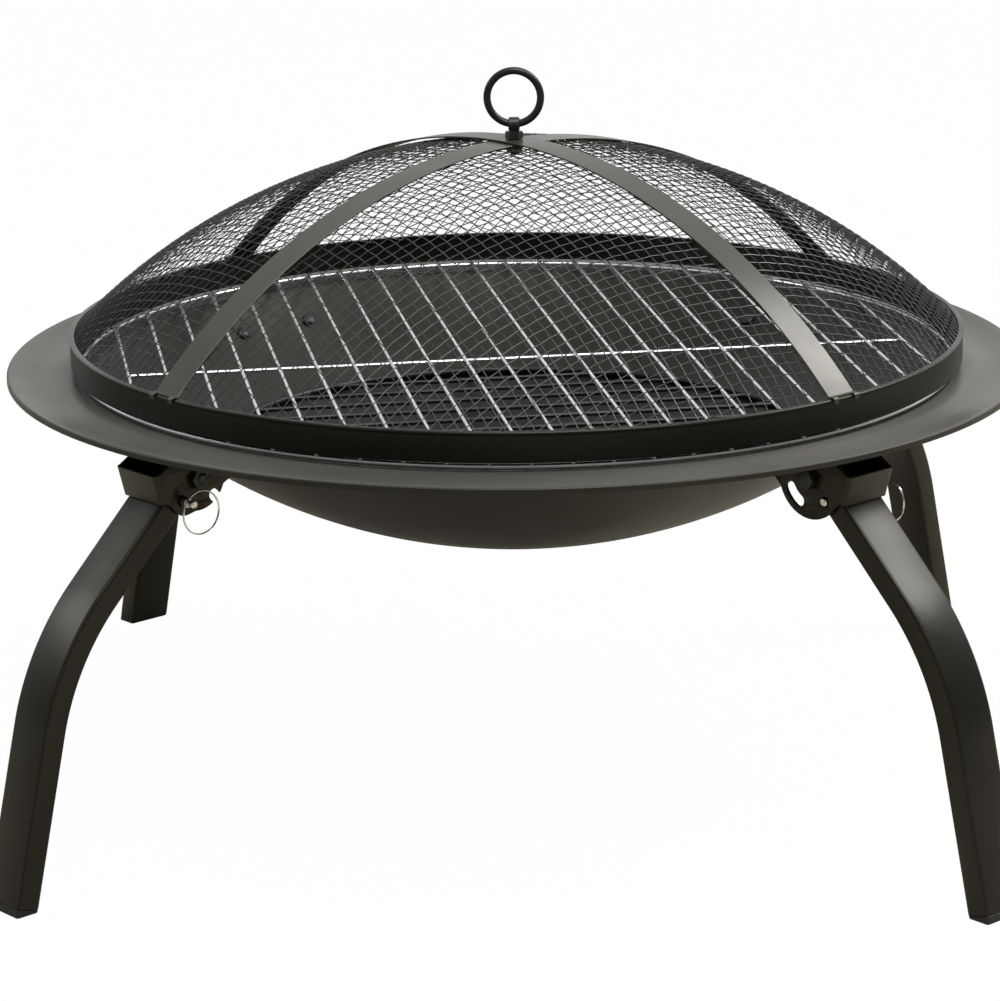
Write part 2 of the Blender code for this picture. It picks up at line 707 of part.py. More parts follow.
def tab(side):
    """A mounting tab: a patch of plate that follows the dish beside an ear."""
    bm = bmesh.new()
    bmesh.ops.create_grid(bm, x_segments=3, y_segments=3, size=1)
    near = side * (BRACKET_INSIDE / 2 + BRACKET_PLATE / 4)
    for vert in bm.verts:
        across = near + (side * TAB_END - near) * (vert.co.x + 1) / 2
        angle = MOUNT_ANGLE + vert.co.y * TAB_HALF_HEIGHT / BOWL_SPHERE
        vert.co = in_leg(bowl_wall(angle, GAP, across))
    mesh = bpy.data.meshes.new("tab")
    bm.to_mesh(mesh)
    bm.free()
    work = working(mesh)
    solidify = work.modifiers.new("plate", "SOLIDIFY")
    solidify.thickness = BRACKET_PLATE
    solidify.offset = side
    return baked(work)


def bracket():
    """The hinge bracket."""
    outline, inside = ear_outline()
    channel = cut(plate(outline, 2 * EAR_OUTSIDE), plate(inside, BRACKET_INSIDE))
    body = joined(channel, tab(-1), tab(1))
    holes = [mount_hole(mount_frame(side)) for side in (-1, 1)]
    slot = plate(slot_outline(), 4 * EAR_OUTSIDE)
    return cut(body, together(holes), pivot_hole(2 * EAR_OUTSIDE), slot)


def pivot_bolt():
    """The pivot bolt, its head on the clockwise side."""
    frame = along((0, 1, 0))
    face = EAR_OUTSIDE + GAP
    end = face + PIVOT_NUT_HEIGHT + BOLT_PAST_NUT
    head = hexagon(NUT_ACROSS, -face - PIVOT_HEAD_HEIGHT, -face, frame)
    return joined(head, cylinder(PIVOT_BOLT / 2, -face - PIVOT_HEAD_HEIGHT / 2, end, BOLT_SIDES, frame))


def pivot_nut():
    face = EAR_OUTSIDE + GAP
    return nut(NUT_ACROSS, PIVOT_BOLT, face, face + PIVOT_NUT_HEIGHT, along((0, 1, 0)))


def mount_bolt(side):
    """A mount bolt, its round head inside the bowl."""
    frame = mount_frame(side)
    seat = -BOWL_SHEET - SHEET_GAP
    end = GAP + BRACKET_PLATE + GAP + MOUNT_NUT_HEIGHT + BOLT_PAST_NUT
    head = cylinder(MOUNT_HEAD_RADIUS, seat - MOUNT_HEAD_HEIGHT, seat, BOLT_SIDES, frame)
    return joined(head, cylinder(MOUNT_BOLT / 2, seat - MOUNT_HEAD_HEIGHT / 2, end, BOLT_SIDES, frame))


def mount_nut(side):
    face = GAP + BRACKET_PLATE + GAP
    return nut(MOUNT_NUT_ACROSS, MOUNT_BOLT, face, face + MOUNT_NUT_HEIGHT, mount_frame(side))


def pin_stations():
    """Places along the locking pin: tip, collar, neck, head and end."""
    collar = EAR_OUTSIDE + GAP
    neck = collar + PIN_COLLAR
    head = neck + RING_WIRE + 2 * GAP
    return -EAR_OUTSIDE - PIN_POKE, collar, neck, head, head + PIN_HEAD


def lock_pin():
    """The locking pin: plain shank, collar, a neck that holds the pull ring, and a head."""
    tip, collar, neck, head, end = pin_stations()
    profile = [
        (0, end), (PIN_HEAD_RADIUS, end), (PIN_HEAD_RADIUS, head), (PIN_NECK_RADIUS, head),
        (PIN_NECK_RADIUS, neck), (PIN_COLLAR_RADIUS, neck), (PIN_COLLAR_RADIUS, collar),
        (PIN_DIAMETER / 2, collar), (PIN_DIAMETER / 2, tip), (0, tip),
    ]
    pin = turned(profile, BOLT_SIDES)
    pin.transform(along((0, 1, 0)))
    return pin


def pin_ring(hang):
    """The pull ring, hanging round the pin's neck."""
    neck = pin_stations()[2]
    middle = neck + GAP + RING_WIRE / 2
    drop = RING_RADIUS - RING_WIRE / 2 - GAP - PIN_NECK_RADIUS
    centre = polar(drop, hang)
    points = [centre + polar(RING_RADIUS, math.tau * i / 20) for i in range(20)]
    return wire([[(x, middle, z) for x, z in points]], RING_WIRE, cyclic=True)


def add_bowl_and_grates():
    add("fire_bowl", fire_bowl(), material("bowl paint", PAINT))
    add("coal_grate", coal_grate(), material("coal grate iron", IRON))
    add("cooking_grid", cooking_grid(), material("grid chrome", CHROME))


def add_dome():
    add("dome_skirt", dome_skirt(), material("skirt paint", PAINT))
    add("dome_mesh", dome_mesh(), material("mesh black", MESH_BLACK))
    strap_paint = material("strap paint", PAINT)
    add("strap_a", strap(STRAP_A_BASE, math.radians(45)), strap_paint, smooth=False)
    add("strap_b", strap(STRAP_B_BASE, math.radians(135)), strap_paint, smooth=False)
    zinc = material("handle bolt finish", BLACK_ZINC)
    add("handle_eye", handle_eye(), zinc)
    top_nut = nut(NUT_ACROSS, SHANK, TOP_NUT_BASE, TOP_NUT_BASE + NUT_HEIGHT)
    add("handle_top_nut", top_nut, zinc, smooth=False)
    bottom_nut = nut(NUT_ACROSS, SHANK, BOTTOM_NUT_TOP - NUT_HEIGHT, BOTTOM_NUT_TOP)
    add("handle_bottom_nut", bottom_nut, zinc, smooth=False)
    hinge = empty("handle_hinge", (0, 0, EYE_HEIGHT))
    add("handle_ring", handle_ring(), material("handle black", BLACK), hinge)


def add_legs():
    """Each leg's pieces share their meshes with the other legs."""
    pieces = {
        "bracket": (bracket(), material("bracket paint", PAINT), False),
        "leg_tube": (leg_tube(), material("leg paint", PAINT), True),
        "foot_cap": (foot_cap(), material("cap plastic", PLASTIC), True),
        "pivot_bolt": (pivot_bolt(), material("pivot bolt finish", BLACK_ZINC), True),
        "pivot_nut": (pivot_nut(), material("pivot nut finish", BLACK_ZINC), False),
        "mount_bolt_a": (mount_bolt(-1), material("mount bolt a finish", BLACK_ZINC), True),
        "mount_bolt_b": (mount_bolt(1), material("mount bolt b finish", BLACK_ZINC), True),
        "mount_nut_a": (mount_nut(-1), material("mount nut a finish", BLACK_ZINC), False),
        "mount_nut_b": (mount_nut(1), material("mount nut b finish", BLACK_ZINC), False),
    }
    pin = lock_pin()
    pin_finish = material("pin nickel", NICKEL)
    ring_finish = material("pull ring nickel", NICKEL)
    seat = polar(PIN_ORBIT, PIN_START)
    for corner, azimuth in LEG_AZIMUTHS.items():
        turn = math.radians(azimuth)
        pivot = empty(f"pivot_{corner}", (*polar(PIVOT_RADIUS, turn), PIVOT_HEIGHT), turn)
        for kind, (mesh, finish, smooth) in pieces.items():
            add(f"{kind}_{corner}", mesh, finish, pivot, smooth=smooth)
        place = (seat.x, 0, seat.y)
        add(f"lock_pin_{corner}", pin, pin_finish, pivot, place)
        add(f"pin_ring_{corner}", pin_ring(RING_HANG[corner]), ring_finish, pivot, place)


clear_scene()
MODEL = bpy.data.collections.new("fire pit")
bpy.context.scene.collection.children.link(MODEL)
add_bowl_and_grates()
add_dome()
add_legs()
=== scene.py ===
"""The fire pit's visual model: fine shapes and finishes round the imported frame, in metres."""
import math

import bmesh
import bpy
import numpy as np
from mathutils import Matrix, Vector


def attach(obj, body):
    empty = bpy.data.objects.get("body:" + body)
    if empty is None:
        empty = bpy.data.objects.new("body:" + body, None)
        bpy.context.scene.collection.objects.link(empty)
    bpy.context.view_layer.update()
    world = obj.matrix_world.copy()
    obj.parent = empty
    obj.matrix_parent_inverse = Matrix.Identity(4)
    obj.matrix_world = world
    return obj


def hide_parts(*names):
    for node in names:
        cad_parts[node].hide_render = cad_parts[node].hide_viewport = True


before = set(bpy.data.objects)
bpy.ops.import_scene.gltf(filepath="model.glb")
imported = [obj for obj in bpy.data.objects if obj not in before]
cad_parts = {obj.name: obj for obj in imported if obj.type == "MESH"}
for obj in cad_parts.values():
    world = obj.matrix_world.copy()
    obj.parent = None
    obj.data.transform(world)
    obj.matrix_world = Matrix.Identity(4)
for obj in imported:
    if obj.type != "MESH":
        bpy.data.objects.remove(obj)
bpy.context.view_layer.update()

# Sizes of the real piece, the same as in the CAD model
GAP = 0.0003
SHEET_GAP = 0.0006
RIM_RADIUS = 0.380
RIM_HEIGHT = 0.313
BOWL_RADIUS = 0.310
BOWL_TOP = 0.307
BOWL_DEPTH = 0.128
BOWL_SHEET = 0.0012
LEDGE_HEIGHT = 0.311
LEDGE_RADIUS = 0.338
LEDGE_BEND = 0.008
HEM_HEIGHT = 0.0042
COAL_RING_RADIUS = 0.226
COAL_ROD = 0.006
COAL_BAR = 0.0036
COAL_CROSS = 0.004
COAL_PITCH = 0.032
COAL_BARS_A_SIDE = 6
COAL_BAR_LIFT = 0.0009
COAL_CROSS_DROP = 0.00133
COAL_TURN = math.radians(12)
GRID_RING_RADIUS = 0.326
GRID_ROD = 0.0045
GRID_WIRE = 0.0025
GRID_PITCH = 0.0278
GRID_WIRES = 22
GRID_CROSS = 0.003
GRID_CROSS_SHIFT = -0.017
GRID_WIRE_REACH = 0.0018
GRID_CROSS_SHORT = 0.034
GRID_TURN = math.radians(11.4)
WELD_DEPTH = 0.0008
SKIRT_RADIUS = 0.3325
SKIRT_HEIGHT = 0.0213
SKIRT_SHEET = 0.001
SKIRT_FOOT = 0.0085
BEAD_SINK = 0.0003
MESH_RADIUS = 0.3265
MESH_RISE = 0.1333
MESH_THICKNESS = 0.001
STRAP_GAP = 0.00045
STRAP_WIDTH = 0.025
STRAP_THICKNESS = 0.0012
SHANK = 0.007
NUT_ACROSS = 0.013
NUT_HEIGHT = 0.0055
SHANK_BELOW_NUT = 0.0015
EYE_RADIUS = 0.0051
EYE_HOLE = 0.0034
HANDLE_RADIUS = 0.01975
HANDLE_WIRE = 0.0055
CORNERS = {"front_left": 225, "front_right": 315, "rear_right": 45, "rear_left": 135}
PIVOT_RADIUS = 0.3215
PIVOT_HEIGHT = 0.283
TUBE_WIDTH = 0.038
TUBE_DEPTH = 0.018
TUBE_WALL = 0.0015
TUBE_CORNER = 0.0025
TUBE_END = 0.012
TUBE_SHIFT = 0.0015
UPPER_RUN = 0.106
UPPER_SLOPE = math.radians(44)
LOWER_LEAN = math.radians(13.6)
LEG_BEND = 0.180
PLUG_FLOOR = 0.004
BRACKET_INSIDE = 0.041
BRACKET_PLATE = 0.002
LOBE_RADIUS = 0.029
LOBE_FROM = math.radians(-35)
LOBE_TO = math.radians(-160)
EAR_TOP = 0.300
EAR_SHOULDER = 0.0185
EAR_FOOT_RADIUS = 0.285
WEB_TOP = Vector((0.0356, 0.0074))
WEB_REACH = 0.031
WEB_CLEARANCE = 0.0004
TAB_END = 0.045
TAB_HALF_HEIGHT = 0.010
PIVOT_BOLT = 0.008
PIVOT_HEAD_HEIGHT = 0.0053
PIVOT_NUT_HEIGHT = 0.004
BOLT_PAST_NUT = 0.0012
MOUNT_BOLT = 0.006
MOUNT_SPREAD = 0.034
MOUNT_RADIUS = 0.2885
MOUNT_HEAD_RADIUS = 0.0055
MOUNT_NUT_ACROSS = 0.010
MOUNT_NUT_HEIGHT = 0.0046
PIN_ORBIT = 0.0198
PIN_START = math.radians(-45)
PIN_DIAMETER = 0.006
PIN_POKE = 0.0015
PIN_COLLAR = 0.0065
PIN_NECK_RADIUS = 0.0018
PIN_HEAD = 0.0042
RING_RADIUS = 0.0155
RING_WIRE = 0.0018
RING_HANG = {"front_left": -138.5, "front_right": -33, "rear_right": -90, "rear_left": -90}

# Places that follow from them
BOWL_SPHERE = (BOWL_RADIUS ** 2 + BOWL_DEPTH ** 2) / (2 * BOWL_DEPTH)
BOWL_CENTRE = BOWL_TOP - BOWL_DEPTH + BOWL_SPHERE
GRID_RING_HEIGHT = LEDGE_HEIGHT + GAP + GRID_ROD / 2
GRID_WIRE_HEIGHT = GRID_RING_HEIGHT + GRID_ROD / 2 + GRID_WIRE / 2 - WELD_DEPTH
SKIRT_BOTTOM = GRID_WIRE_HEIGHT + GRID_WIRE / 2 + GAP
SKIRT_TOP = SKIRT_BOTTOM + SKIRT_HEIGHT
MESH_BOTTOM = SKIRT_TOP + GAP
MESH_SPHERE = (MESH_RADIUS ** 2 + MESH_RISE ** 2) / (2 * MESH_RISE)
MESH_CENTRE = MESH_BOTTOM + MESH_RISE - MESH_SPHERE
MESH_TOP = MESH_BOTTOM + MESH_RISE + MESH_THICKNESS
STRAP_A_BASE = MESH_TOP + STRAP_GAP
STRAP_B_BASE = STRAP_A_BASE + STRAP_THICKNESS + GAP
TOP_NUT_BASE = STRAP_B_BASE + STRAP_THICKNESS + GAP
EYE_HEIGHT = TOP_NUT_BASE + NUT_HEIGHT + GAP + EYE_RADIUS
BOTTOM_NUT_TOP = MESH_TOP - MESH_THICKNESS - GAP
EAR_OUTSIDE = BRACKET_INSIDE / 2 + BRACKET_PLATE
EAR_MIDDLE = BRACKET_INSIDE / 2 + BRACKET_PLATE / 2
COAL_ANGLE = math.asin(COAL_RING_RADIUS / (BOWL_SPHERE - BOWL_SHEET - GAP - COAL_ROD / 2))
MOUNT_ANGLE = math.asin(MOUNT_RADIUS / BOWL_SPHERE)

# Detail that only this model has, or that is finer here
FLANGE_RUN = [
    (0.335, 0.3110), (0.340, 0.3106), (0.347, 0.3090), (0.356, 0.3081),
    (0.366, 0.3095), (0.374, 0.3119), (0.3783, 0.3129),
]
HEM_BEND = 0.0016
SKIRT_LIP = 0.0032
SKIRT_HEM = 0.0006
SKIRT_CORNER = 0.0009
BEAD_RADIUS = 0.0012
BEAD_FOOT = 0.0034
WEAVE_PITCH = 0.0090
WEAVE_WIRE = 0.0008
WEAVE_OFFSET = 0.00035
WEAVE_TURN = math.radians(36)
WEAVE_EDGE = 0.3312
WEAVE_BORDER = 0.004
WEAVE_SPARE = 1.2
STRAP_CLAW_DROP = 0.0028
STRAP_CLAW_WIDTH = 0.0045
STRAP_BEND = 0.0012
STRAP_LANDING = 0.0016
EYE_LENGTH = 0.0082
EYE_SHANK_OVERLAP = 0.0006
TOP_NUT_ACROSS = 0.0116
BOTTOM_NUT_ACROSS = 0.0100
THREAD_PITCH = 0.001
THREAD_ROOT = 0.88
ROD_TIP = [(0.75, 0.0), (0.86, 0.16)]
ROD_TIP_LENGTH = 0.3
NUT_FACE = 0.95
NUT_CHAMFER_START = 0.97
NUT_CHAMFER = 0.5
TUBE_OPEN_END = 0.030
TUBE_LEAST_CORNER = 0.0008
PLUG_TOP = (0.0005, 0.0004)
PLUG_LEDGE = 0.0001
PLUG_FOOT = ((0.0001, 0.0010), (0.0003, 0.0004), (0.0008, 0.0))
WEB_BEND = 0.0035
WEB_EDGE = 0.0002
SHOULDER_CORNER = 0.004
SLOT_HALF = 0.0042
SLOT_START = math.radians(-118)
SLOT_END = math.radians(-152)
HOOK_RADIUS = 0.0235
HOOK_TURN = math.radians(-133)
HOOK_LIPS = (math.radians(-147), math.radians(-119))
HOOK_BLEND_START = math.radians(-85)
HOOK_BLEND = math.radians(30)
PIN_PLAY = 0.0007
TAB_CORNER = 0.006
MOUNT_HEAD_RIM = 0.0012
MOUNT_HEAD_DOME = 0.002
PIN_COLLAR_RADIUS = 0.0036
PIN_HEAD_RADIUS = 0.0028
RING_WIND = math.radians(710)
RING_START = 0.4
RING_CROSSOVER = (0.42, 0.16)
SOFT_EDGE = 0.0003
TURN_STEPS = 192
NUT_STEPS = 48
SHARP = math.radians(40)
UP = np.array((0.0, 0.0, 1.0))


def polar(radius, angle):
    """A point on a circle about the origin, as across and up."""
    return Vector((radius * math.cos(angle), radius * math.sin(angle)))


def along(direction, point=(0, 0, 0)):
    """A frame at a point, with its Z along a direction."""
    return Matrix.Translation(point) @ Vector(direction).to_track_quat("Z", "Y").to_matrix().to_4x4()


# Mesh building

def skin(rings, along_closed=False, caps=False):
    """Joins closed rings of points with faces; along_closed also joins the last ring to the first."""
    rings = np.asarray(rings, float)
    count, each = rings.shape[:2]
    faces = []
    for i in range(count if along_closed else count - 1):
        low, high = i * each, (i + 1) % count * each
        for j in range(each):
            k = (j + 1) % each
            faces.append((low + j, low + k, high + k, high + j))
    if caps:
        faces.append(tuple(range(each))[::-1])
        faces.append(tuple(range((count - 1) * each, count * each)))
    mesh = bpy.data.meshes.new("skin")
    mesh.from_pydata(rings.reshape(-1, 3).tolist(), [], faces)
    return mesh


def tube(points, radius, sides, up, closed=False):
    """A round wire along points; up is a direction that is never along the wire, or one for each point."""
    path = np.asarray(points, float)
    if closed:
        tangent = np.roll(path, -1, 0) - np.roll(path, 1, 0)
    else:
        tangent = np.gradient(path, axis=0)
    tangent /= np.linalg.norm(tangent, axis=1)[:, None]
    across = np.cross(tangent, up)
    across /= np.linalg.norm(across, axis=1)[:, None]
    normal = np.cross(across, tangent)
    turn = (np.arange(sides) + 0.5) * math.tau / sides
    ring = np.cos(turn)[None, :, None] * across[:, None] + np.sin(turn)[None, :, None] * normal[:, None]
    return skin(path[:, None] + radius * ring, along_closed=closed, caps=not closed)


def level_circle(radius, height, steps=TURN_STEPS):
    """Points of a level circle."""
    turn = np.arange(steps) * math.tau / steps
    return np.stack([radius * np.cos(turn), radius * np.sin(turn), np.full(steps, height)], 1)


def turned(profile, steps=TURN_STEPS):
    """A closed profile of radius and height turned about Z."""
    profile = np.asarray(profile, float)
    turn = np.arange(steps) * math.tau / steps
    rings = np.stack([
        profile[None, :, 0] * np.cos(turn)[:, None],
        profile[None, :, 0] * np.sin(turn)[:, None],
        np.repeat(profile[None, :, 1], steps, 0),
    ], 2)
    return skin(rings, along_closed=True)


def group(meshes, matrix=None):
    """Several meshes as one, welded, with their faces turned out."""
    bm = bmesh.new()
    for mesh in meshes:
        bm.from_mesh(mesh)
        bpy.data.meshes.remove(mesh)
    bmesh.ops.remove_doubles(bm, verts=bm.verts, dist=0.000002)
    bmesh.ops.dissolve_degenerate(bm, edges=bm.edges, dist=0.000001)
    bmesh.ops.recalc_face_normals(bm, faces=bm.faces)
    if matrix:
        bm.transform(matrix)
    merged = bpy.data.meshes.new("group")
    bm.to_mesh(merged)
    bm.free()
    return merged


def rounded(points, radii, steps=5):
    """An outline with its corners rounded to the given radii."""
    result = []
    for i, (corner, radius) in enumerate(zip(points, radii)):
        here = Vector(corner)
        if not radius:
            result.append(here)
            continue
        back = (Vector(points[i - 1]) - here).normalized()
        on = (Vector(points[(i + 1) % len(points)]) - here).normalized()
        half = back.angle(on) / 2
        centre = here + (back + on).normalized() * radius / math.sin(half)
        first = (here + back * radius / math.tan(half) - centre).normalized()
        last = (here + on * radius / math.tan(half) - centre).normalized()
        for k in range(steps + 1):
            result.append(centre + radius * first.slerp(last, k / steps))
    return result


def plate(outlines, width, middle, edge):
    """A flat plate in the leg's upright XZ plane, with holes and slightly rounded edges."""
    curve = bpy.data.curves.new("plate", "CURVE")
    curve.dimensions = "2D"
    curve.fill_mode = "BOTH"
    curve.extrude = width / 2 - edge
    curve.bevel_depth = edge
    curve.bevel_resolution = 1
    curve.offset = -edge
    for outline in outlines:
        run = curve.splines.new("POLY")
        run.points.add(len(outline) - 1)
        for place, point in zip(run.points, outline):
            place.co = (point[0], point[1], 0, 1)
        run.use_cyclic_u = True
    work = bpy.data.objects.new("work", curve)
    bpy.context.scene.collection.objects.link(work)
    bpy.context.view_layer.update()
    mesh = bpy.data.meshes.new_from_object(work.evaluated_get(bpy.context.evaluated_depsgraph_get()))
    mesh.transform(Matrix.Translation((0, middle, 0)) @ Matrix.Rotation(math.pi / 2, 4, "X"))
    bpy.data.objects.remove(work)
    return mesh


def piece(name, mesh, look, body, nodes):
    """Adds a finished mesh that rides on a body and stands for the CAD's nodes."""
    mesh.name = name
    mesh.materials.clear()
    mesh.materials.append(look)
    mesh.shade_smooth()
    mesh.set_sharp_from_angle(angle=SHARP)
    thing = bpy.data.objects.new(name, mesh)
    bpy.context.scene.collection.objects.link(thing)
    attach(thing, body)
    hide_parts(*nodes)


# Finishes, with painted light on the bowl's flange

WARM_SHINE = (1.0, 0.96, 0.85, 1.0)
# Painted light on the bowl's flange: how many times lighter than the dish it is painted, and the radii
# where this painted light fades in past the ledge and out before the hem
FLANGE_PAINTED_LIGHT = 4.2
FLANGE_PAINTED_LIGHT_START = (LEDGE_RADIUS - 0.020, LEDGE_RADIUS - 0.006)
FLANGE_PAINTED_LIGHT_END = (RIM_RADIUS - 0.0005, RIM_RADIUS - 0.0025)
PATCH_RANGE = (0.35, 0.7)
PATCH_SHARE = 0.8
SPECKLE_SCALE = 0.35
GRAIN_SHARE = 0.4
SPREAD_MIDDLE = 0.7


class Socket:
    """One output of a material's nodes, with arithmetic that adds Math nodes."""

    def __init__(self, tree, output=None):
        self.tree = tree
        self.output = output

    def node(self, kind, settings, inputs, output=0):
        """Adds a node: its settings first, then its inputs from numbers or other sockets."""
        made = self.tree.nodes.new(kind)
        for key, value in settings.items():
            setattr(made, key, value)
        for key, value in inputs.items():
            if isinstance(value, Socket):
                self.tree.links.new(value.output, made.inputs[key])
            else:
                made.inputs[key].default_value = value
        return Socket(self.tree, made.outputs[output])

    def maths(self, operation, first, second):
        """Adds a Math node for two sockets or numbers."""
        return self.node("ShaderNodeMath", {"operation": operation}, {0: first, 1: second})

    def __add__(self, other):
        return self.maths("ADD", self, other)

    def __sub__(self, other):
        return self.maths("SUBTRACT", self, other)

    def __rsub__(self, other):
        return self.maths("SUBTRACT", other, self)

    def __mul__(self, other):
        return self.maths("MULTIPLY", self, other)


def noise(start, place, scale, detail=3.0, roughness=0.5):
    """Noise from 0 to 1 about 0.5."""
    inputs = {"Vector": place, "Scale": scale, "Detail": detail, "Roughness": roughness}
    return start.node("ShaderNodeTexNoise", {}, inputs)


def ramp(start, value, low, high):
    """Takes a value's range from low to high to 0 to 1, smoothly."""
    settings = {"interpolation_type": "SMOOTHSTEP"}
    return start.node("ShaderNodeMapRange", settings, {"Value": value, "From Min": low, "From Max": high})


def mixed(start, factor, first, second):
    """A colour between two."""
    inputs = {0: factor, 6: first, 7: second}
    return start.node("ShaderNodeMix", {"data_type": "RGBA"}, inputs, 2)


def finish(name, colour, second, roughness, metallic, grain, height, patch, specular=0.5, spread=0.12):
    """A finish with soft patches of a second colour, uneven roughness and a fine surface grain."""
    material = bpy.data.materials.new(name)
    material.use_nodes = True
    tree = material.node_tree
    shader = tree.nodes["Principled BSDF"]
    start = Socket(tree)
    place = start.node("ShaderNodeTexCoord", {}, {}, "Object")
    patches = ramp(start, noise(start, place, patch), *PATCH_RANGE)
    speckle = noise(start, place, grain * SPECKLE_SCALE, 2.0)
    share = patches * PATCH_SHARE + speckle * (1 - PATCH_SHARE)
    tone = mixed(start, share, (*colour, 1), (*second, 1))
    fine = noise(start, place, grain, 2.0, 0.6)
    rough = patches * spread + fine * (spread * GRAIN_SHARE) + (roughness - spread * SPREAD_MIDDLE)
    bump = start.node("ShaderNodeBump", {}, {"Strength": 0.5, "Distance": height, "Height": fine})
    for key, value in (("Base Color", tone), ("Roughness", rough), ("Normal", bump)):
        tree.links.new(value.output, shader.inputs[key])
    shader.inputs["Metallic"].default_value = metallic
    shader.inputs["Specular IOR Level"].default_value = specular
    return material


def paint_flange_light(material):
    """Paints light onto the bowl's flange: a painted lighter tone than its dish, which fades back to the
    dish's colour at its hem.
    """
    tree = material.node_tree
    shader = tree.nodes["Principled BSDF"]
    start = Socket(tree)
    place = start.node("ShaderNodeTexCoord", {}, {}, "Object")
    flat = start.node("ShaderNodeVectorMath", {"operation": "MULTIPLY"}, {0: place, 1: (1.0, 1.0, 0.0)})
    radius = start.node("ShaderNodeVectorMath", {"operation": "LENGTH"}, {0: flat}, "Value")
    # the flange's painted light fades in past the ledge and out again before the hem
    inside = ramp(start, radius, *FLANGE_PAINTED_LIGHT_START)
    painted_light_share = inside * ramp(start, radius, *FLANGE_PAINTED_LIGHT_END)
    dish = Socket(tree, shader.inputs["Base Color"].links[0].from_socket)
    # the dish's colour made lighter, as painted light for the flange
    flange = start.node("ShaderNodeVectorMath", {"operation": "SCALE"}, {0: dish, "Scale": FLANGE_PAINTED_LIGHT})
    tone = mixed(start, painted_light_share, dish, flange)
    tree.links.new(tone.output, shader.inputs["Base Color"])


PAINT = finish(
    "satin black paint", (0.0055, 0.0052, 0.0043), (0.0078, 0.0074, 0.0061),
    0.33, 0.0, 1500, 0.00005, 9, 0.28)
# the bowl's own paint, which also carries the flange's painted light
BOWL_PAINT_AND_FLANGE_LIGHT = finish(
    "bowl paint", (0.0125, 0.0120, 0.0104), (0.0165, 0.0158, 0.0138), 0.42, 0.0, 1400, 0.00005, 7, 0.24)
STRAP_PAINT = finish(
    "strap paint", (0.024, 0.0228, 0.0188), (0.032, 0.0304, 0.0250), 0.35, 0.0, 1500, 0.00005, 14, 0.35)
MESH_BLACK = finish(
    "coated mesh wire", (0.011, 0.0108, 0.0098), (0.016, 0.0157, 0.0142), 0.45, 0.0, 2500, 0.00002, 20, 0.5)
IRON = finish(
    "grate iron", (0.004, 0.004, 0.0036), (0.007, 0.0066, 0.0062), 0.42, 0.0, 900, 0.0001, 30, 0.4)
CHROME = finish(
    "bright chrome", (0.90, 0.90, 0.89), (0.80, 0.80, 0.80), 0.30, 1.0, 1200, 0.00002, 25, spread=0.08)
NICKEL = finish(
    "nickel plate", (0.74, 0.72, 0.68), (0.62, 0.60, 0.56), 0.24, 1.0, 1500, 0.00002, 60, spread=0.1)
ZINC = finish(
    "black plated steel", (0.009, 0.009, 0.0085), (0.014, 0.0135, 0.012), 0.36, 0.0, 1800, 0.00003, 90, 0.4)
HANDLE = finish(
    "handle black", (0.006, 0.006, 0.0055), (0.010, 0.0095, 0.009), 0.36, 0.0, 1600, 0.00004, 40, 0.3)
PLASTIC = finish(
    "plug plastic", (0.008, 0.008, 0.0078), (0.012, 0.012, 0.0115), 0.5, 0.0, 2200, 0.00008, 60, 0.3)
# painted light on the bowl's flange
paint_flange_light(BOWL_PAINT_AND_FLANGE_LIGHT)
for paint in (PAINT, BOWL_PAINT_AND_FLANGE_LIGHT, STRAP_PAINT):
    paint.node_tree.nodes["Principled BSDF"].inputs["Specular Tint"].default_value = WARM_SHINE


# Bowl and grates

def bowl_wall(angle, lift=0.0, side=0.0):
    """A point outside the dish: its angle from the lowest point, its height off the sheet and its side."""
    radius = (BOWL_SPHERE + lift) * math.sin(angle)
    height = BOWL_CENTRE - (BOWL_SPHERE + lift) * math.cos(angle)
    return Vector((math.sqrt(radius ** 2 - side ** 2), side, height))


def smooth_run(points, steps):
    """A smooth curve through points, without its last one."""
    p = [np.array(q) for q in points]
    p = [2 * p[0] - p[1], *p, 2 * p[-1] - p[-2]]
    run = []
    for a, b, c, d in zip(p, p[1:], p[2:], p[3:]):
        for t in np.arange(steps) / steps:
            run.append(tuple(0.5 * (2 * b + (c - a) * t + (2 * a - 5 * b + 4 * c - d) * t ** 2
                                    + (3 * b - a - 3 * c + d) * t ** 3)))
    return run


def sheet_outline(face, thickness):
    """Closes an open profile into a sheet, with its thickness on the right of its way."""
    p = np.array(face)
    way = np.gradient(p, axis=0)
    way /= np.linalg.norm(way, axis=1)[:, None]
    side = np.stack([way[:, 1], -way[:, 0]], 1)
    back = p + side * thickness
    back[:, 0] = np.maximum(back[:, 0], 0)
    return [*face, *[tuple(q) for q in back[::-1]]]


def fire_bowl():
    """The bowl: dish, ledge, sagging flange and turned-down hem."""
    inside = BOWL_SPHERE - BOWL_SHEET
    end = math.acos((BOWL_CENTRE + LEDGE_BEND - LEDGE_HEIGHT) / (inside + LEDGE_BEND))
    face = [(inside * math.sin(a), BOWL_CENTRE - inside * math.cos(a)) for a in np.linspace(0, end, 40)]
    bend = Vector(((inside + LEDGE_BEND) * math.sin(end), LEDGE_HEIGHT - LEDGE_BEND))
    for a in np.linspace(end, 0, 8)[1:]:
        face.append(tuple(bend + LEDGE_BEND * Vector((-math.sin(a), math.cos(a)))))
    face += smooth_run(FLANGE_RUN, 5)
    hem = Vector((RIM_RADIUS - HEM_BEND, RIM_HEIGHT - HEM_BEND))
    face += [tuple(hem + polar(HEM_BEND, a)) for a in np.linspace(math.radians(80), 0, 6)]
    face.append((RIM_RADIUS, RIM_HEIGHT - HEM_HEIGHT))
    return group([turned(sheet_outline(face, BOWL_SHEET))])


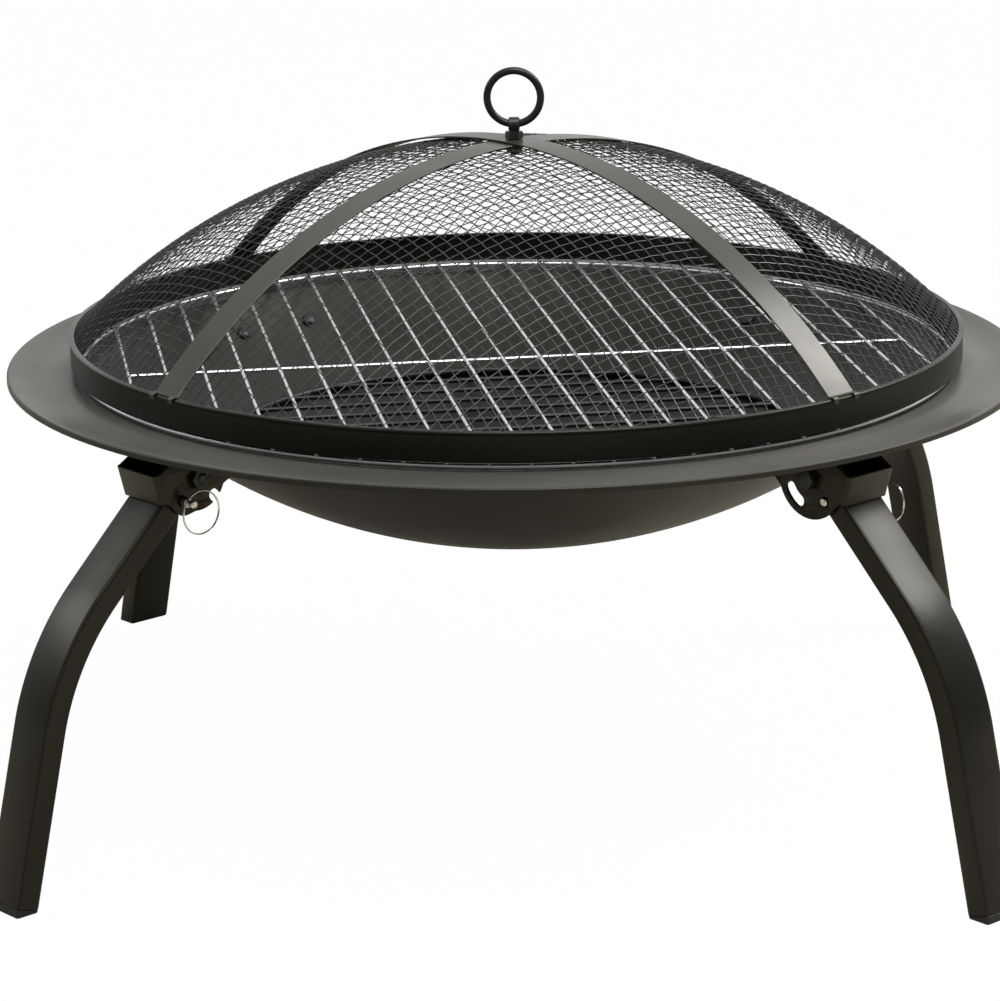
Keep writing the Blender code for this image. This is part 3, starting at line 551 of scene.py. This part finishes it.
def coal_grate():
    """Thin bars in a thick rod ring."""
    height = BOWL_CENTRE - (BOWL_SPHERE - BOWL_SHEET - GAP - COAL_ROD / 2) * math.cos(COAL_ANGLE)
    parts = [tube(level_circle(COAL_RING_RADIUS, height, 96), COAL_ROD / 2, 10, UP, True)]
    for i in range(-COAL_BARS_A_SIDE, COAL_BARS_A_SIDE + 1):
        across = i * COAL_PITCH
        reach = math.sqrt(COAL_RING_RADIUS ** 2 - across ** 2)
        ends = [(-reach, across, height + COAL_BAR_LIFT), (reach, across, height + COAL_BAR_LIFT)]
        parts.append(tube(ends, COAL_BAR / 2, 8, UP))
    level = height - COAL_CROSS_DROP
    ends = [(0, -COAL_RING_RADIUS, level), (0, COAL_RING_RADIUS, level)]
    parts.append(tube(ends, COAL_CROSS / 2, 8, UP))
    return group(parts, Matrix.Rotation(COAL_TURN, 4, "Z"))


def cooking_grid():
    """Thin wires laid over a thicker ring, with one cross wire under them."""
    parts = [tube(level_circle(GRID_RING_RADIUS, GRID_RING_HEIGHT), GRID_ROD / 2, 12, UP, True)]
    for i in range(GRID_WIRES):
        across = (i - (GRID_WIRES - 1) / 2) * GRID_PITCH
        reach = math.sqrt((GRID_RING_RADIUS + GRID_WIRE_REACH) ** 2 - across ** 2)
        ends = [(across, -reach, GRID_WIRE_HEIGHT), (across, reach, GRID_WIRE_HEIGHT)]
        parts.append(tube(ends, GRID_WIRE / 2, 10, UP))
    under = GRID_WIRE_HEIGHT - GRID_WIRE / 2 - GRID_CROSS / 2 + WELD_DEPTH
    reach = GRID_RING_RADIUS - GRID_CROSS_SHORT
    ends = [(-reach, GRID_CROSS_SHIFT, under), (reach, GRID_CROSS_SHIFT, under)]
    parts.append(tube(ends, GRID_CROSS / 2, 10, UP))
    return group(parts, Matrix.Rotation(GRID_TURN, 4, "Z"))


# Dome

def dome_skirt():
    """The rolled band with its beaded top edge, lip and foot."""
    bead = Vector((SKIRT_RADIUS - BEAD_SINK, SKIRT_TOP - BEAD_RADIUS))
    inner = SKIRT_RADIUS - SKIRT_SHEET
    points = [(SKIRT_RADIUS - SKIRT_LIP, SKIRT_TOP)]
    points += [tuple(bead + polar(BEAD_RADIUS, a)) for a in np.linspace(math.pi / 2, -math.pi / 3, 9)]
    points.append((SKIRT_RADIUS, SKIRT_TOP - BEAD_FOOT))
    low = Vector((SKIRT_RADIUS - SKIRT_CORNER, SKIRT_BOTTOM - SKIRT_HEM + SKIRT_CORNER))
    points += [tuple(low + polar(SKIRT_CORNER, a)) for a in np.linspace(0, -math.pi / 2, 5)]
    points.append((inner, SKIRT_BOTTOM - SKIRT_HEM))
    points.append((inner, SKIRT_BOTTOM))
    points.append((SKIRT_RADIUS - SKIRT_FOOT, SKIRT_BOTTOM))
    points.append((SKIRT_RADIUS - SKIRT_FOOT, SKIRT_BOTTOM + SKIRT_SHEET))
    points.append((inner, SKIRT_BOTTOM + SKIRT_SHEET))
    points.append((inner, SKIRT_TOP - SKIRT_SHEET))
    points.append((SKIRT_RADIUS - SKIRT_LIP, SKIRT_TOP - SKIRT_SHEET))
    return group([turned(points)])


def woven_wire(k, swap):
    """One wire of the weave as its runs of points, over one crossing wire and under the next."""
    sphere = MESH_SPHERE + MESH_THICKNESS / 2
    line = sphere * math.sin((k + 0.5) * WEAVE_PITCH / sphere)
    reach = int(MESH_RADIUS / WEAVE_PITCH * WEAVE_SPARE)
    runs, run = [], []
    edge = WEAVE_EDGE - WEAVE_WIRE / 2
    end = math.sqrt(max(edge ** 2 - line ** 2, 0))
    stations = [sphere * math.sin((m + 0.5) * WEAVE_PITCH / sphere) for m in range(-reach, reach)]
    stops = [(s, (1 if (k + m) % 2 else -1)) for m, s in enumerate(stations) if abs(s) < end - WEAVE_WIRE]
    for place, sign in [(-end, 0), *stops, (end, 0)]:
        if math.hypot(place, line) < SHANK / 2 + 2 * WEAVE_WIRE:
            runs.append(run)
            run = []
            continue
        level = sphere + sign * (WEAVE_OFFSET if swap else -WEAVE_OFFSET)
        x, y = (line, place) if swap else (place, line)
        flat = Vector((x, y, math.sqrt(sphere ** 2 - x * x - y * y))) * (level / sphere)
        run.append((flat.x, flat.y, flat.z))
    runs.append(run)
    return [r for r in runs if len(r) > 1]


def dome_mesh():
    """The woven wire cap, its wires laid slantwise to the front."""
    parts = []
    count = int(MESH_SPHERE * math.asin((WEAVE_EDGE - WEAVE_BORDER) / MESH_SPHERE) / WEAVE_PITCH)
    for swap in (False, True):
        for k in range(-count, count):
            for run in woven_wire(k, swap):
                path = np.array(run)
                parts.append(tube(path, WEAVE_WIRE / 2, 5, path))
    turn = Matrix.Translation((0, 0, MESH_CENTRE)) @ Matrix.Rotation(WEAVE_TURN, 4, "Z")
    return group(parts, turn)


def strap_path(base):
    """Half of a strap's lower face: from the top out to the bead, and the claw down over the bead."""
    sphere = MESH_SPHERE + MESH_THICKNESS + STRAP_GAP
    landing = math.sqrt(sphere ** 2 - (MESH_BOTTOM - MESH_CENTRE) ** 2)
    rise = base - MESH_BOTTOM
    arc = (landing ** 2 + rise ** 2) / (2 * rise)
    centre = base - arc
    turns = np.linspace(0, math.asin(landing / arc), 40)
    over = [(arc * math.sin(a), centre + arc * math.cos(a)) for a in turns]
    claw = SKIRT_RADIUS - BEAD_SINK + BEAD_RADIUS + 2 * GAP
    over.append((claw - STRAP_LANDING, MESH_BOTTOM))
    bend = Vector((claw - STRAP_BEND, MESH_BOTTOM - STRAP_BEND))
    down = [tuple(bend + polar(STRAP_BEND, a)) for a in np.linspace(math.pi / 2, 0, 6)]
    down.append((claw, SKIRT_TOP - STRAP_CLAW_DROP))
    return over, down


def ribbon(path, width, middle):
    """A flat bar of a strap's thickness on a path, with its edges slightly rounded."""
    p = np.array(path)
    way = np.gradient(p, axis=0)
    way /= np.linalg.norm(way, axis=1)[:, None]
    side = np.stack([-way[:, 1], way[:, 0]], 1)
    half, inner, high = width / 2, width / 2 - SOFT_EDGE, STRAP_THICKNESS - SOFT_EDGE
    outline = [
        (-inner, 0), (inner, 0), (half, SOFT_EDGE), (half, high),
        (inner, STRAP_THICKNESS), (-inner, STRAP_THICKNESS), (-half, high), (-half, SOFT_EDGE),
    ]
    rings = []
    for point, normal in zip(p, side):
        spots = [(point + normal * t, middle + w) for w, t in outline]
        rings.append([(spot[0], across, spot[1]) for spot, across in spots])
    return skin(rings, caps=True)


def strap(base, azimuth):
    """A flat strap over the dome with two claws at each end."""
    over, down = strap_path(base)
    whole = [(-x, z) for x, z in reversed(over)] + over[1:]
    parts = [ribbon(whole, STRAP_WIDTH, 0)]
    for flip in (1, -1):
        for side in (-1, 1):
            middle = side * (STRAP_WIDTH - STRAP_CLAW_WIDTH) / 2
            claw = [(flip * x, z) for x, z in [over[-1], *down]]
            parts.append(ribbon(claw if flip > 0 else claw[::-1], STRAP_CLAW_WIDTH, middle))
    return group(parts, Matrix.Rotation(math.radians(azimuth), 4, "Z"))


def rod_profile(radius, low, high, thread_from):
    """A bolt's shank from low to high, with a chamfered lower end and a thread below a height."""
    points = [(0, low), *[(radius * r, low + radius * z) for r, z in ROD_TIP]]
    height = low + radius * ROD_TIP_LENGTH
    while height < thread_from:
        points += [(radius, height), (radius * THREAD_ROOT, height + THREAD_PITCH / 2)]
        height += THREAD_PITCH
    return [*points, (radius, max(height, thread_from)), (radius, high), (0, high)]


def hex_nut(across, bore, start, end, axis=None):
    """A hexagonal nut or head with chamfered corners; bore 0 makes it solid."""
    turn = np.arange(NUT_STEPS) * math.tau / NUT_STEPS
    flat = across / 2
    reach = flat / np.cos((turn % (math.pi / 3)) - math.pi / 6)
    drop = (reach - flat * NUT_CHAMFER_START) * NUT_CHAMFER
    inside = np.full(NUT_STEPS, bore / 2)
    face = np.full(NUT_STEPS, flat * NUT_FACE)
    levels = [
        (inside, start), (face, start), (reach, start + drop),
        (reach, end - drop), (face, end), (inside, end),
    ]
    rings = []
    for radius, height in levels:
        heights = np.zeros(NUT_STEPS) + height
        rings.append(np.stack([radius * np.cos(turn), radius * np.sin(turn), heights], 1))
    return group([skin(rings, along_closed=bool(bore))], axis)


def handle_eye():
    """The eye bolt: a rounded eye across X on a threaded shank."""
    soft = 0.0009
    profile = [(EYE_HOLE, -EYE_LENGTH / 2 + soft), (EYE_HOLE + soft, -EYE_LENGTH / 2)]
    profile += [(EYE_RADIUS - soft, -EYE_LENGTH / 2), (EYE_RADIUS, -EYE_LENGTH / 2 + soft)]
    profile += [(r, -z) for r, z in reversed(profile)]
    eye = group([turned(profile, 48)], along((1, 0, 0), (0, 0, EYE_HEIGHT)))
    low = BOTTOM_NUT_TOP - NUT_HEIGHT - SHANK_BELOW_NUT
    high = EYE_HEIGHT - EYE_HOLE - EYE_SHANK_OVERLAP
    shank = turned(rod_profile(SHANK / 2, low, high, TOP_NUT_BASE), 32)
    return group([eye, shank])


def handle_ring():
    """The lifting ring, upright, with its lowest wire in the eye."""
    turn = np.arange(96) * math.tau / 96
    heights = EYE_HEIGHT + HANDLE_RADIUS * (1 - np.cos(turn))
    path = np.stack([HANDLE_RADIUS * np.sin(turn), 0 * turn, heights], 1)
    return group([tube(path, HANDLE_WIRE / 2, 20, np.array((0.0, 1.0, 0.0)), True)])


# Legs

SLOPE = Vector((math.cos(UPPER_SLOPE), -math.sin(UPPER_SLOPE)))
NORMAL = Vector((math.sin(UPPER_SLOPE), math.cos(UPPER_SLOPE)))
LEAN = Vector((math.sin(LOWER_LEAN), -math.cos(LOWER_LEAN)))


def leg_path():
    """The leg's centre line in its own plane, from its end above the pivot down to its foot."""
    origin = NORMAL * TUBE_SHIFT
    centre = origin + SLOPE * UPPER_RUN - NORMAL * LEG_BEND
    points = [origin - SLOPE * TUBE_END, origin, origin + SLOPE * UPPER_RUN / 2]
    for a in np.linspace(UPPER_SLOPE, math.pi / 2 - LOWER_LEAN, 28):
        points.append(centre + LEG_BEND * Vector((math.sin(a), math.cos(a))))
    run = (points[-1].y + PIVOT_HEIGHT - PLUG_FLOOR) / -LEAN.y
    points.append(points[-1] + LEAN * run / 2)
    points.append(points[-1] + LEAN * run / 2)
    return points


def tube_section(inset=0.0):
    """The tube's outline, across and deep, with rounded corners."""
    w, d = TUBE_WIDTH / 2 - inset, TUBE_DEPTH / 2 - inset
    corners = [(w, d), (-w, d), (-w, -d), (w, -d)]
    return rounded(corners, [max(TUBE_CORNER - inset, TUBE_LEAST_CORNER)] * 4, 5)


def section_at(point, way, inset=0.0):
    """The tube's outline set at a point of the leg's plane."""
    normal = Vector((-way.y, way.x))
    ring = []
    for across, deep in tube_section(inset):
        ring.append((point.x + normal.x * deep, across, point.y + normal.y * deep))
    return ring


def leg_tube():
    """The bent tube, with its open upper end."""
    points = leg_path()
    rings = [section_at(points[0] + SLOPE * TUBE_OPEN_END, SLOPE, TUBE_WALL)]
    rings.append(section_at(points[0], SLOPE, TUBE_WALL))
    rings.append(section_at(points[0], SLOPE, SOFT_EDGE))
    rings.append(section_at(points[0] + SLOPE * SOFT_EDGE, SLOPE))
    for before, here, after in zip(points, points[1:], points[2:]):
        way = (here - before).normalized() + (after - here).normalized()
        rings.append(section_at(here, way.normalized()))
    rings.append(section_at(points[-1] - LEAN * SOFT_EDGE, LEAN))
    rings.append(section_at(points[-1], LEAN, SOFT_EDGE))
    return skin(rings, caps=True)


def foot_plug():
    """The plug at the tube's end, cut level on the floor."""
    start = leg_path()[-1] + LEAN * GAP
    rings = [section_at(start, LEAN, PLUG_TOP[0]), section_at(start + LEAN * PLUG_TOP[1], LEAN, PLUG_LEDGE)]
    for inset, lift in PLUG_FOOT:
        ring = []
        for x, y, z in section_at(start, LEAN, inset):
            drop = (z + PIVOT_HEIGHT - lift) / -LEAN.y
            ring.append((x + LEAN.x * drop, y, z + LEAN.y * drop))
        rings.append(ring)
    return skin(rings, caps=True)


def in_leg(point):
    """A point measured from the leg's pivot."""
    return Vector(point) - Vector((PIVOT_RADIUS, 0, PIVOT_HEIGHT))


def circle(middle, radius, steps=24):
    """An outline round a point of the leg's plane."""
    return [middle + polar(radius, math.tau * i / steps) for i in range(steps)]


def arc_slot(orbit, half, start, end):
    """A rounded slot along an arc about the pivot."""
    outer = [polar(orbit + half, a) for a in np.linspace(start, end, 12)]
    inner = [polar(orbit - half, a) for a in np.linspace(end, start, 12)]
    first = [polar(orbit, start) + polar(half, a) for a in np.linspace(start + math.pi, start, 9)[1:-1]]
    last = [polar(orbit, end) + polar(half, a) for a in np.linspace(end, end - math.pi, 9)[1:-1]]
    return outer + last + inner + first


def hooked_lobe():
    """The lower edge of the ear on the ring's side, with the open notch that takes the folded leg's pin."""
    middle, out = polar(PIN_ORBIT, HOOK_TURN), polar(1, HOOK_TURN)
    sides = [polar(SLOT_HALF, HOOK_TURN + side * math.pi / 2) for side in (-1, 1)]
    mouth = out * (HOOK_RADIUS - PIN_ORBIT - SOFT_EDGE)
    lobe = [polar(HOOK_RADIUS, a) for a in np.linspace(LOBE_TO, HOOK_LIPS[0], 4)]
    lobe.append(middle + sides[0] + mouth)
    for a in np.linspace(0, math.pi, 13):
        lobe.append(middle + polar(SLOT_HALF, HOOK_TURN - math.pi / 2 - a))
    lobe.append(middle + sides[1] + mouth)
    for a in np.linspace(HOOK_LIPS[1], LOBE_FROM, 20):
        share = min(max((a - HOOK_BLEND_START) / HOOK_BLEND, 0), 1)
        share = share * share * (3 - 2 * share)
        lobe.append(polar(HOOK_RADIUS + share * (LOBE_RADIUS - HOOK_RADIUS), a))
    return [tuple(p) for p in lobe]


def bracket():
    """The hinge bracket: a bent web, two tabs and two ears, one with a short slot and one with a notch."""
    inner_bottom = SLOPE * WEB_REACH + NORMAL * (TUBE_SHIFT + TUBE_DEPTH / 2 + WEB_CLEARANCE)
    up = (WEB_TOP - inner_bottom).normalized()
    out = Vector((up.y, -up.x))
    low = inner_bottom + out * (BRACKET_PLATE - WEB_BEND)
    high = WEB_TOP + out * (BRACKET_PLATE - WEB_BEND)
    sphere = BOWL_SPHERE + GAP + BRACKET_PLATE / 2
    first = math.acos((BOWL_CENTRE - EAR_TOP) / sphere)
    last = math.asin(EAR_FOOT_RADIUS / sphere)
    lift = GAP + BRACKET_PLATE / 2
    wall = [in_leg(bowl_wall(a, lift, EAR_MIDDLE)) for a in np.linspace(first, last, 12)]
    outline = [tuple(low), tuple(high), (EAR_SHOULDER, EAR_TOP - PIVOT_HEIGHT)]
    outline += [(p.x, p.z) for p in wall]
    lobe = [tuple(polar(LOBE_RADIUS, a)) for a in np.linspace(LOBE_TO, LOBE_FROM, 24)]
    outlines = []
    for end in (lobe, hooked_lobe()):
        radii = [0, 0, SHOULDER_CORNER] + [0] * (len(outline) + len(end) - 3)
        outlines.append(rounded(outline + end, radii))
    slot = arc_slot(PIN_ORBIT, SLOT_HALF, SLOT_START, SLOT_END)
    pin = circle(polar(PIN_ORBIT, PIN_START), PIN_DIAMETER / 2 + PIN_PLAY)
    bolt = circle(Vector((0, 0)), PIVOT_BOLT / 2 + GAP)
    parts = [
        plate([outlines[0], slot, pin, bolt], BRACKET_PLATE, -EAR_MIDDLE, SOFT_EDGE),
        plate([outlines[1], pin, bolt], BRACKET_PLATE, EAR_MIDDLE, SOFT_EDGE),
    ]
    profile = []
    for radius, way in ((WEB_BEND, 1), (WEB_BEND - BRACKET_PLATE, -1)):
        run = [(side, a) for side in (-1, 1) for a in np.linspace(0, math.pi / 2, 7)[::-side]]
        for side, a in run[::way]:
            across = side * (EAR_OUTSIDE - WEB_BEND + radius * math.cos(a))
            profile.append((across, radius * math.sin(a)))
    rings = []
    for at in (low, low + up * WEB_EDGE, high - up * WEB_EDGE, high):
        rings.append([(at.x + out.x * n, across, at.y + out.y * n) for across, n in profile])
    parts.append(skin(rings, caps=True))
    for side in (-1, 1):
        parts.append(tab(side))
    return group(parts)


def tab(side):
    """A mounting tab that follows the dish beside an ear, with its outer corners rounded."""
    near = BRACKET_INSIDE / 2 + SOFT_EDGE
    straight = TAB_END - TAB_CORNER
    stations = [near, near + TAB_CORNER, straight]
    stations += [straight + TAB_CORNER * math.sin(a) for a in np.linspace(0.2, math.pi / 2, 7)]
    rings = []
    for across in stations:
        past = max(across - straight, 0)
        half = TAB_HALF_HEIGHT - TAB_CORNER + math.sqrt(max(TAB_CORNER ** 2 - past ** 2, 0))
        ring = []
        for lift, way in ((GAP, 1), (GAP + BRACKET_PLATE, -1)):
            for v in np.linspace(-half, half, 7)[::way]:
                ring.append(tuple(in_leg(bowl_wall(MOUNT_ANGLE + v / BOWL_SPHERE, lift, side * across))))
        rings.append(ring)
    return skin(rings, caps=True)


def pivot_bolt():
    """The pivot bolt with its hexagonal head."""
    axis = along((0, 1, 0))
    face = EAR_OUTSIDE + GAP
    head = hex_nut(NUT_ACROSS, 0.0, -face - PIVOT_HEAD_HEIGHT, -face, axis)
    end = face + PIVOT_NUT_HEIGHT + BOLT_PAST_NUT
    profile = rod_profile(PIVOT_BOLT / 2, -end, face + THREAD_PITCH, -face)
    shank = group([turned(profile, 32)], axis @ Matrix.Rotation(math.pi, 4, "X"))
    return group([head, shank])


def pivot_nut():
    """The nut of the pivot bolt."""
    face = EAR_OUTSIDE + GAP
    return hex_nut(NUT_ACROSS, PIVOT_BOLT + 2 * GAP, face, face + PIVOT_NUT_HEIGHT, along((0, 1, 0)))


def mount_frame(side):
    """The axis of one mount bolt: its origin on the outside of the dish and its Z pointing away."""
    foot = bowl_wall(MOUNT_ANGLE, 0, side * MOUNT_SPREAD)
    return along(foot - Vector((0, 0, BOWL_CENTRE)), in_leg(foot))


def mount_bolt(side):
    """A mount bolt with its domed head inside the bowl."""
    seat = BOWL_SHEET + SHEET_GAP
    end = 2 * GAP + BRACKET_PLATE + MOUNT_NUT_HEIGHT + BOLT_PAST_NUT
    profile = []
    for a in np.linspace(0, math.pi / 2, 7):
        height = seat + MOUNT_HEAD_RIM + MOUNT_HEAD_DOME * math.cos(a)
        profile.append((MOUNT_HEAD_RADIUS * math.sin(a), height))
    profile += [(MOUNT_HEAD_RADIUS, seat), (MOUNT_BOLT / 2, seat)]
    profile += reversed(rod_profile(MOUNT_BOLT / 2, -end, seat, 0.0)[1:-2])
    profile.append((0, -end))
    return group([turned(profile, 32)], mount_frame(side) @ Matrix.Rotation(math.pi, 4, "X"))


def mount_nut(side):
    """The nut of a mount bolt."""
    face = 2 * GAP + BRACKET_PLATE
    return hex_nut(MOUNT_NUT_ACROSS, MOUNT_BOLT + 2 * GAP, face, face + MOUNT_NUT_HEIGHT, mount_frame(side))


def lock_pin():
    """The locking pin: rounded tip, shank, collar, neck for the ring, and head."""
    collar = EAR_OUTSIDE + GAP
    neck = collar + PIN_COLLAR
    head = neck + RING_WIRE + 2 * GAP
    tip = -EAR_OUTSIDE - PIN_POKE
    soft = 0.0007
    top = head + PIN_HEAD
    profile = [
        (0, top), (PIN_HEAD_RADIUS - soft, top), (PIN_HEAD_RADIUS, top - soft),
        (PIN_HEAD_RADIUS, head + soft / 2), (PIN_HEAD_RADIUS - soft / 2, head), (PIN_NECK_RADIUS, head),
        (PIN_NECK_RADIUS, neck), (PIN_COLLAR_RADIUS - soft, neck), (PIN_COLLAR_RADIUS, neck - soft),
        (PIN_COLLAR_RADIUS, collar + soft), (PIN_COLLAR_RADIUS - soft, collar), (PIN_DIAMETER / 2, collar),
        (PIN_DIAMETER / 2, tip + soft), (PIN_DIAMETER / 2 - soft, tip), (0, tip),
    ]
    seat = polar(PIN_ORBIT, PIN_START)
    return group([turned(profile, 40)], along((0, 1, 0), (seat.x, 0, seat.y)))


def pull_ring(hang):
    """The split ring: two turns of thin wire side by side, through the pin's neck."""
    middle = EAR_OUTSIDE + GAP + PIN_COLLAR + GAP + RING_WIRE / 2
    drop = RING_RADIUS - RING_WIRE / 2 - GAP - PIN_NECK_RADIUS
    centre = polar(PIN_ORBIT, PIN_START) + polar(drop, hang)
    wire = RING_WIRE / 4
    path = []
    for t in np.linspace(0, 1, 97):
        angle = hang + RING_START + t * RING_WIND
        shift = (2 * min(max((t - RING_CROSSOVER[0]) / RING_CROSSOVER[1], 0), 1) - 1) * wire
        spot = centre + polar(RING_RADIUS, angle)
        path.append((spot.x, middle + shift, spot.y))
    return group([tube(path, wire, 8, np.array((0.0, 1.0, 0.0)))])


# Pieces

piece("bowl", fire_bowl(), BOWL_PAINT_AND_FLANGE_LIGHT, "bowl", ["fire_bowl"])
piece("coal_grate_bars", coal_grate(), IRON, "coal_grate", ["coal_grate"])
piece("cooking_grid_wires", cooking_grid(), CHROME, "cooking_grid", ["cooking_grid"])
piece("dome_band", dome_skirt(), PAINT, "dome", ["dome_skirt"])
piece("dome_weave", dome_mesh(), MESH_BLACK, "dome", ["dome_mesh"])
piece("dome_strap_a", strap(STRAP_A_BASE, 45), STRAP_PAINT, "dome", ["strap_a"])
piece("dome_strap_b", strap(STRAP_B_BASE, 135), STRAP_PAINT, "dome", ["strap_b"])
piece("eye_bolt", handle_eye(), ZINC, "dome", ["handle_eye"])
nuts = (
    ("handle_top_nut", TOP_NUT_BASE, TOP_NUT_ACROSS),
    ("handle_bottom_nut", BOTTOM_NUT_TOP - NUT_HEIGHT, BOTTOM_NUT_ACROSS),
)
for name, base, across in nuts:
    nut = hex_nut(across, SHANK + 2 * GAP, base, base + NUT_HEIGHT)
    piece(f"{name}_fine", nut, ZINC, "dome", [name])
piece("lifting_ring", handle_ring(), HANDLE, "handle", ["handle_ring"])
for corner, azimuth in CORNERS.items():
    pivot = Matrix.Translation((PIVOT_RADIUS, 0, PIVOT_HEIGHT))
    place = Matrix.Rotation(math.radians(azimuth), 4, "Z") @ pivot
    ring = pull_ring(math.radians(RING_HANG[corner]))
    made = [
        ("hinge_bracket", bracket(), PAINT, "bowl", "paint", "bracket"),
        ("leg", group([leg_tube()]), PAINT, f"leg_{corner}", "paint", "leg_tube"),
        ("foot_plug", group([foot_plug()]), PLASTIC, f"leg_{corner}", "cap", "foot_cap"),
        ("hinge_bolt", pivot_bolt(), ZINC, "bowl", "black_zinc", "pivot_bolt"),
        ("hinge_nut", pivot_nut(), ZINC, "bowl", "black_zinc", "pivot_nut"),
        ("bowl_bolt_a", mount_bolt(-1), ZINC, "bowl", "black_zinc", "mount_bolt_a"),
        ("bowl_bolt_b", mount_bolt(1), ZINC, "bowl", "black_zinc", "mount_bolt_b"),
        ("bowl_nut_a", mount_nut(-1), ZINC, "bowl", "black_zinc", "mount_nut_a"),
        ("bowl_nut_b", mount_nut(1), ZINC, "bowl", "black_zinc", "mount_nut_b"),
        ("locking_pin", lock_pin(), NICKEL, f"pin_{corner}", "nickel", "lock_pin"),
        ("split_ring", ring, NICKEL, f"ring_{corner}", "nickel", "pin_ring"),
    ]
    for name, mesh, look, body, slot, node in made:
        mesh.transform(place)
        piece(f"{name}_{corner}", mesh, look, body, [f"{node}_{corner}"])


# Floor, light and camera

FLOOR_RADIUS = 14.0
FLOOR_LEVEL = -0.0005
FLOOR_PAINT = (0.49, 0.44, 0.34, 1)
FLOOR_SEEN = 0.99
FLOOR_MIRRORED = 0.05
BEHIND_RANGE = (0.0, 0.75)
ABOVE_RANGE = (0.2, 0.8)
LIGHT_ALL_ROUND = 0.14
LIGHT_BEHIND = 0.35
LIGHT_ABOVE = 0.5
SHINE_BEHIND = 0.5
SHINE_LESS_ABOVE = 0.5
LAMPS = (
    # name, place, aim, size, power in watts
    ("left", (-2.1, 0.0, 1.35), (-0.3, -0.3, 0.2), (1.0, 0.6), 9),
    ("right", (1.75, 0.55, 2.05), (0.3, -0.3, 0.2), (1.2, 1.0), 52),
    ("top", (0.5, -1.1, 2.6), (0.0, -0.2, 0.3), (1.6, 1.4), 68),
)
CAMERA_PLACE = (0.1162, -2.7716, 0.9712)
CAMERA_ANGLES = (-0.279, 15.547, -0.64)
CAMERA_ROUND = math.radians(2.4)
CAMERA_LENS = 136.47


def floor():
    """A pale floor that is seen as white, and takes part in the light with a warm tone of its own."""
    inner = FLOOR_RADIUS / 2
    mesh = skin([level_circle(FLOOR_RADIUS, FLOOR_LEVEL, 64), level_circle(inner, FLOOR_LEVEL, 64)])
    bm = bmesh.new()
    bm.from_mesh(mesh)
    edges = [e for e in bm.edges if e.is_boundary and e.verts[0].co.length < FLOOR_RADIUS * 0.75]
    bmesh.ops.contextual_create(bm, geom=edges)
    bm.to_mesh(mesh)
    bm.free()
    look = bpy.data.materials.new("white floor")
    look.use_nodes = True
    tree = look.node_tree
    tree.nodes.remove(tree.nodes["Principled BSDF"])
    start = Socket(tree)
    rays = [start.node("ShaderNodeLightPath", {}, {}, f"Is {kind} Ray") for kind in ("Camera", "Glossy")]
    lit = start.node("ShaderNodeBsdfDiffuse", {}, {"Color": FLOOR_PAINT})
    white = start.node("ShaderNodeEmission", {}, {"Color": (1, 1, 1, 1), "Strength": 1.0})
    seen = rays[0] * FLOOR_SEEN + rays[1] * FLOOR_MIRRORED
    shown = start.node("ShaderNodeMixShader", {}, {0: seen, 1: lit, 2: white})
    tree.links.new(shown.output, tree.nodes["Material Output"].inputs["Surface"])
    mesh.materials.append(look)
    thing = bpy.data.objects.new("floor", mesh)
    bpy.context.scene.collection.objects.link(thing)


def sky():
    """A studio: white where it is seen, and as a light bright behind the object and dim in front."""
    world = bpy.data.worlds.new("studio")
    world.use_nodes = True
    bpy.context.scene.world = world
    tree = world.node_tree
    start = Socket(tree)
    kinds = ("Camera", "Glossy", "Transmission")
    rays = [start.node("ShaderNodeLightPath", {}, {}, f"Is {kind} Ray") for kind in kinds]
    way = start.node("ShaderNodeTexCoord", {}, {}, "Generated")
    ways = [start.node("ShaderNodeSeparateXYZ", {}, {0: way}, axis) for axis in ("X", "Y", "Z")]
    behind = ramp(start, ways[1], *BEHIND_RANGE)
    above = ramp(start, ways[2], *ABOVE_RANGE)
    studio = behind * LIGHT_BEHIND + above * LIGHT_ABOVE + LIGHT_ALL_ROUND
    shine = rays[1] * (behind * (SHINE_BEHIND - above * SHINE_LESS_ABOVE))
    seen = start.node("ShaderNodeMath", {"operation": "ADD", "use_clamp": True}, {0: rays[0], 1: rays[2]})
    background = tree.nodes["Background"]
    tree.links.new((studio + shine + seen * (1.0 - studio)).output, background.inputs["Strength"])
    background.inputs["Color"].default_value = (1, 1, 1, 1)


def lamp(name, place, aim, size, power):
    """A soft rectangular lamp."""
    light = bpy.data.lights.new(name, "AREA")
    light.shape = "RECTANGLE"
    light.size, light.size_y = size
    light.energy = power
    thing = bpy.data.objects.new(name, light)
    thing.location = place
    thing.rotation_mode = "QUATERNION"
    thing.rotation_quaternion = (Vector(aim) - Vector(place)).to_track_quat("-Z", "Y")
    bpy.context.scene.collection.objects.link(thing)


def camera():
    """The photograph's viewpoint, turned a little round the fire pit."""
    yaw, pitch, roll = (math.radians(v) for v in CAMERA_ANGLES)
    ahead = Vector((math.sin(yaw) * math.cos(pitch), math.cos(yaw) * math.cos(pitch), -math.sin(pitch)))
    right = Vector((math.cos(yaw), -math.sin(yaw), 0))
    up = right.cross(ahead)
    across = right * math.cos(roll) + up * math.sin(roll)
    top = up * math.cos(roll) - right * math.sin(roll)
    lens = bpy.data.cameras.new("photograph")
    lens.sensor_width = 36
    lens.lens = CAMERA_LENS
    lens.clip_start, lens.clip_end = 0.05, 60
    view = bpy.data.objects.new("photograph", lens)
    bpy.context.scene.collection.objects.link(view)
    aim = Matrix((across, top, -ahead)).transposed().to_4x4()
    view.matrix_world = Matrix.Translation(CAMERA_PLACE) @ Matrix.Rotation(CAMERA_ROUND, 4, "Z") @ aim
    bpy.context.scene.camera = view


floor()
sky()
for settings in LAMPS:
    lamp(*settings)
camera()
bpy.context.scene.view_settings.view_transform = "Standard"
bpy.context.view_layer.update()
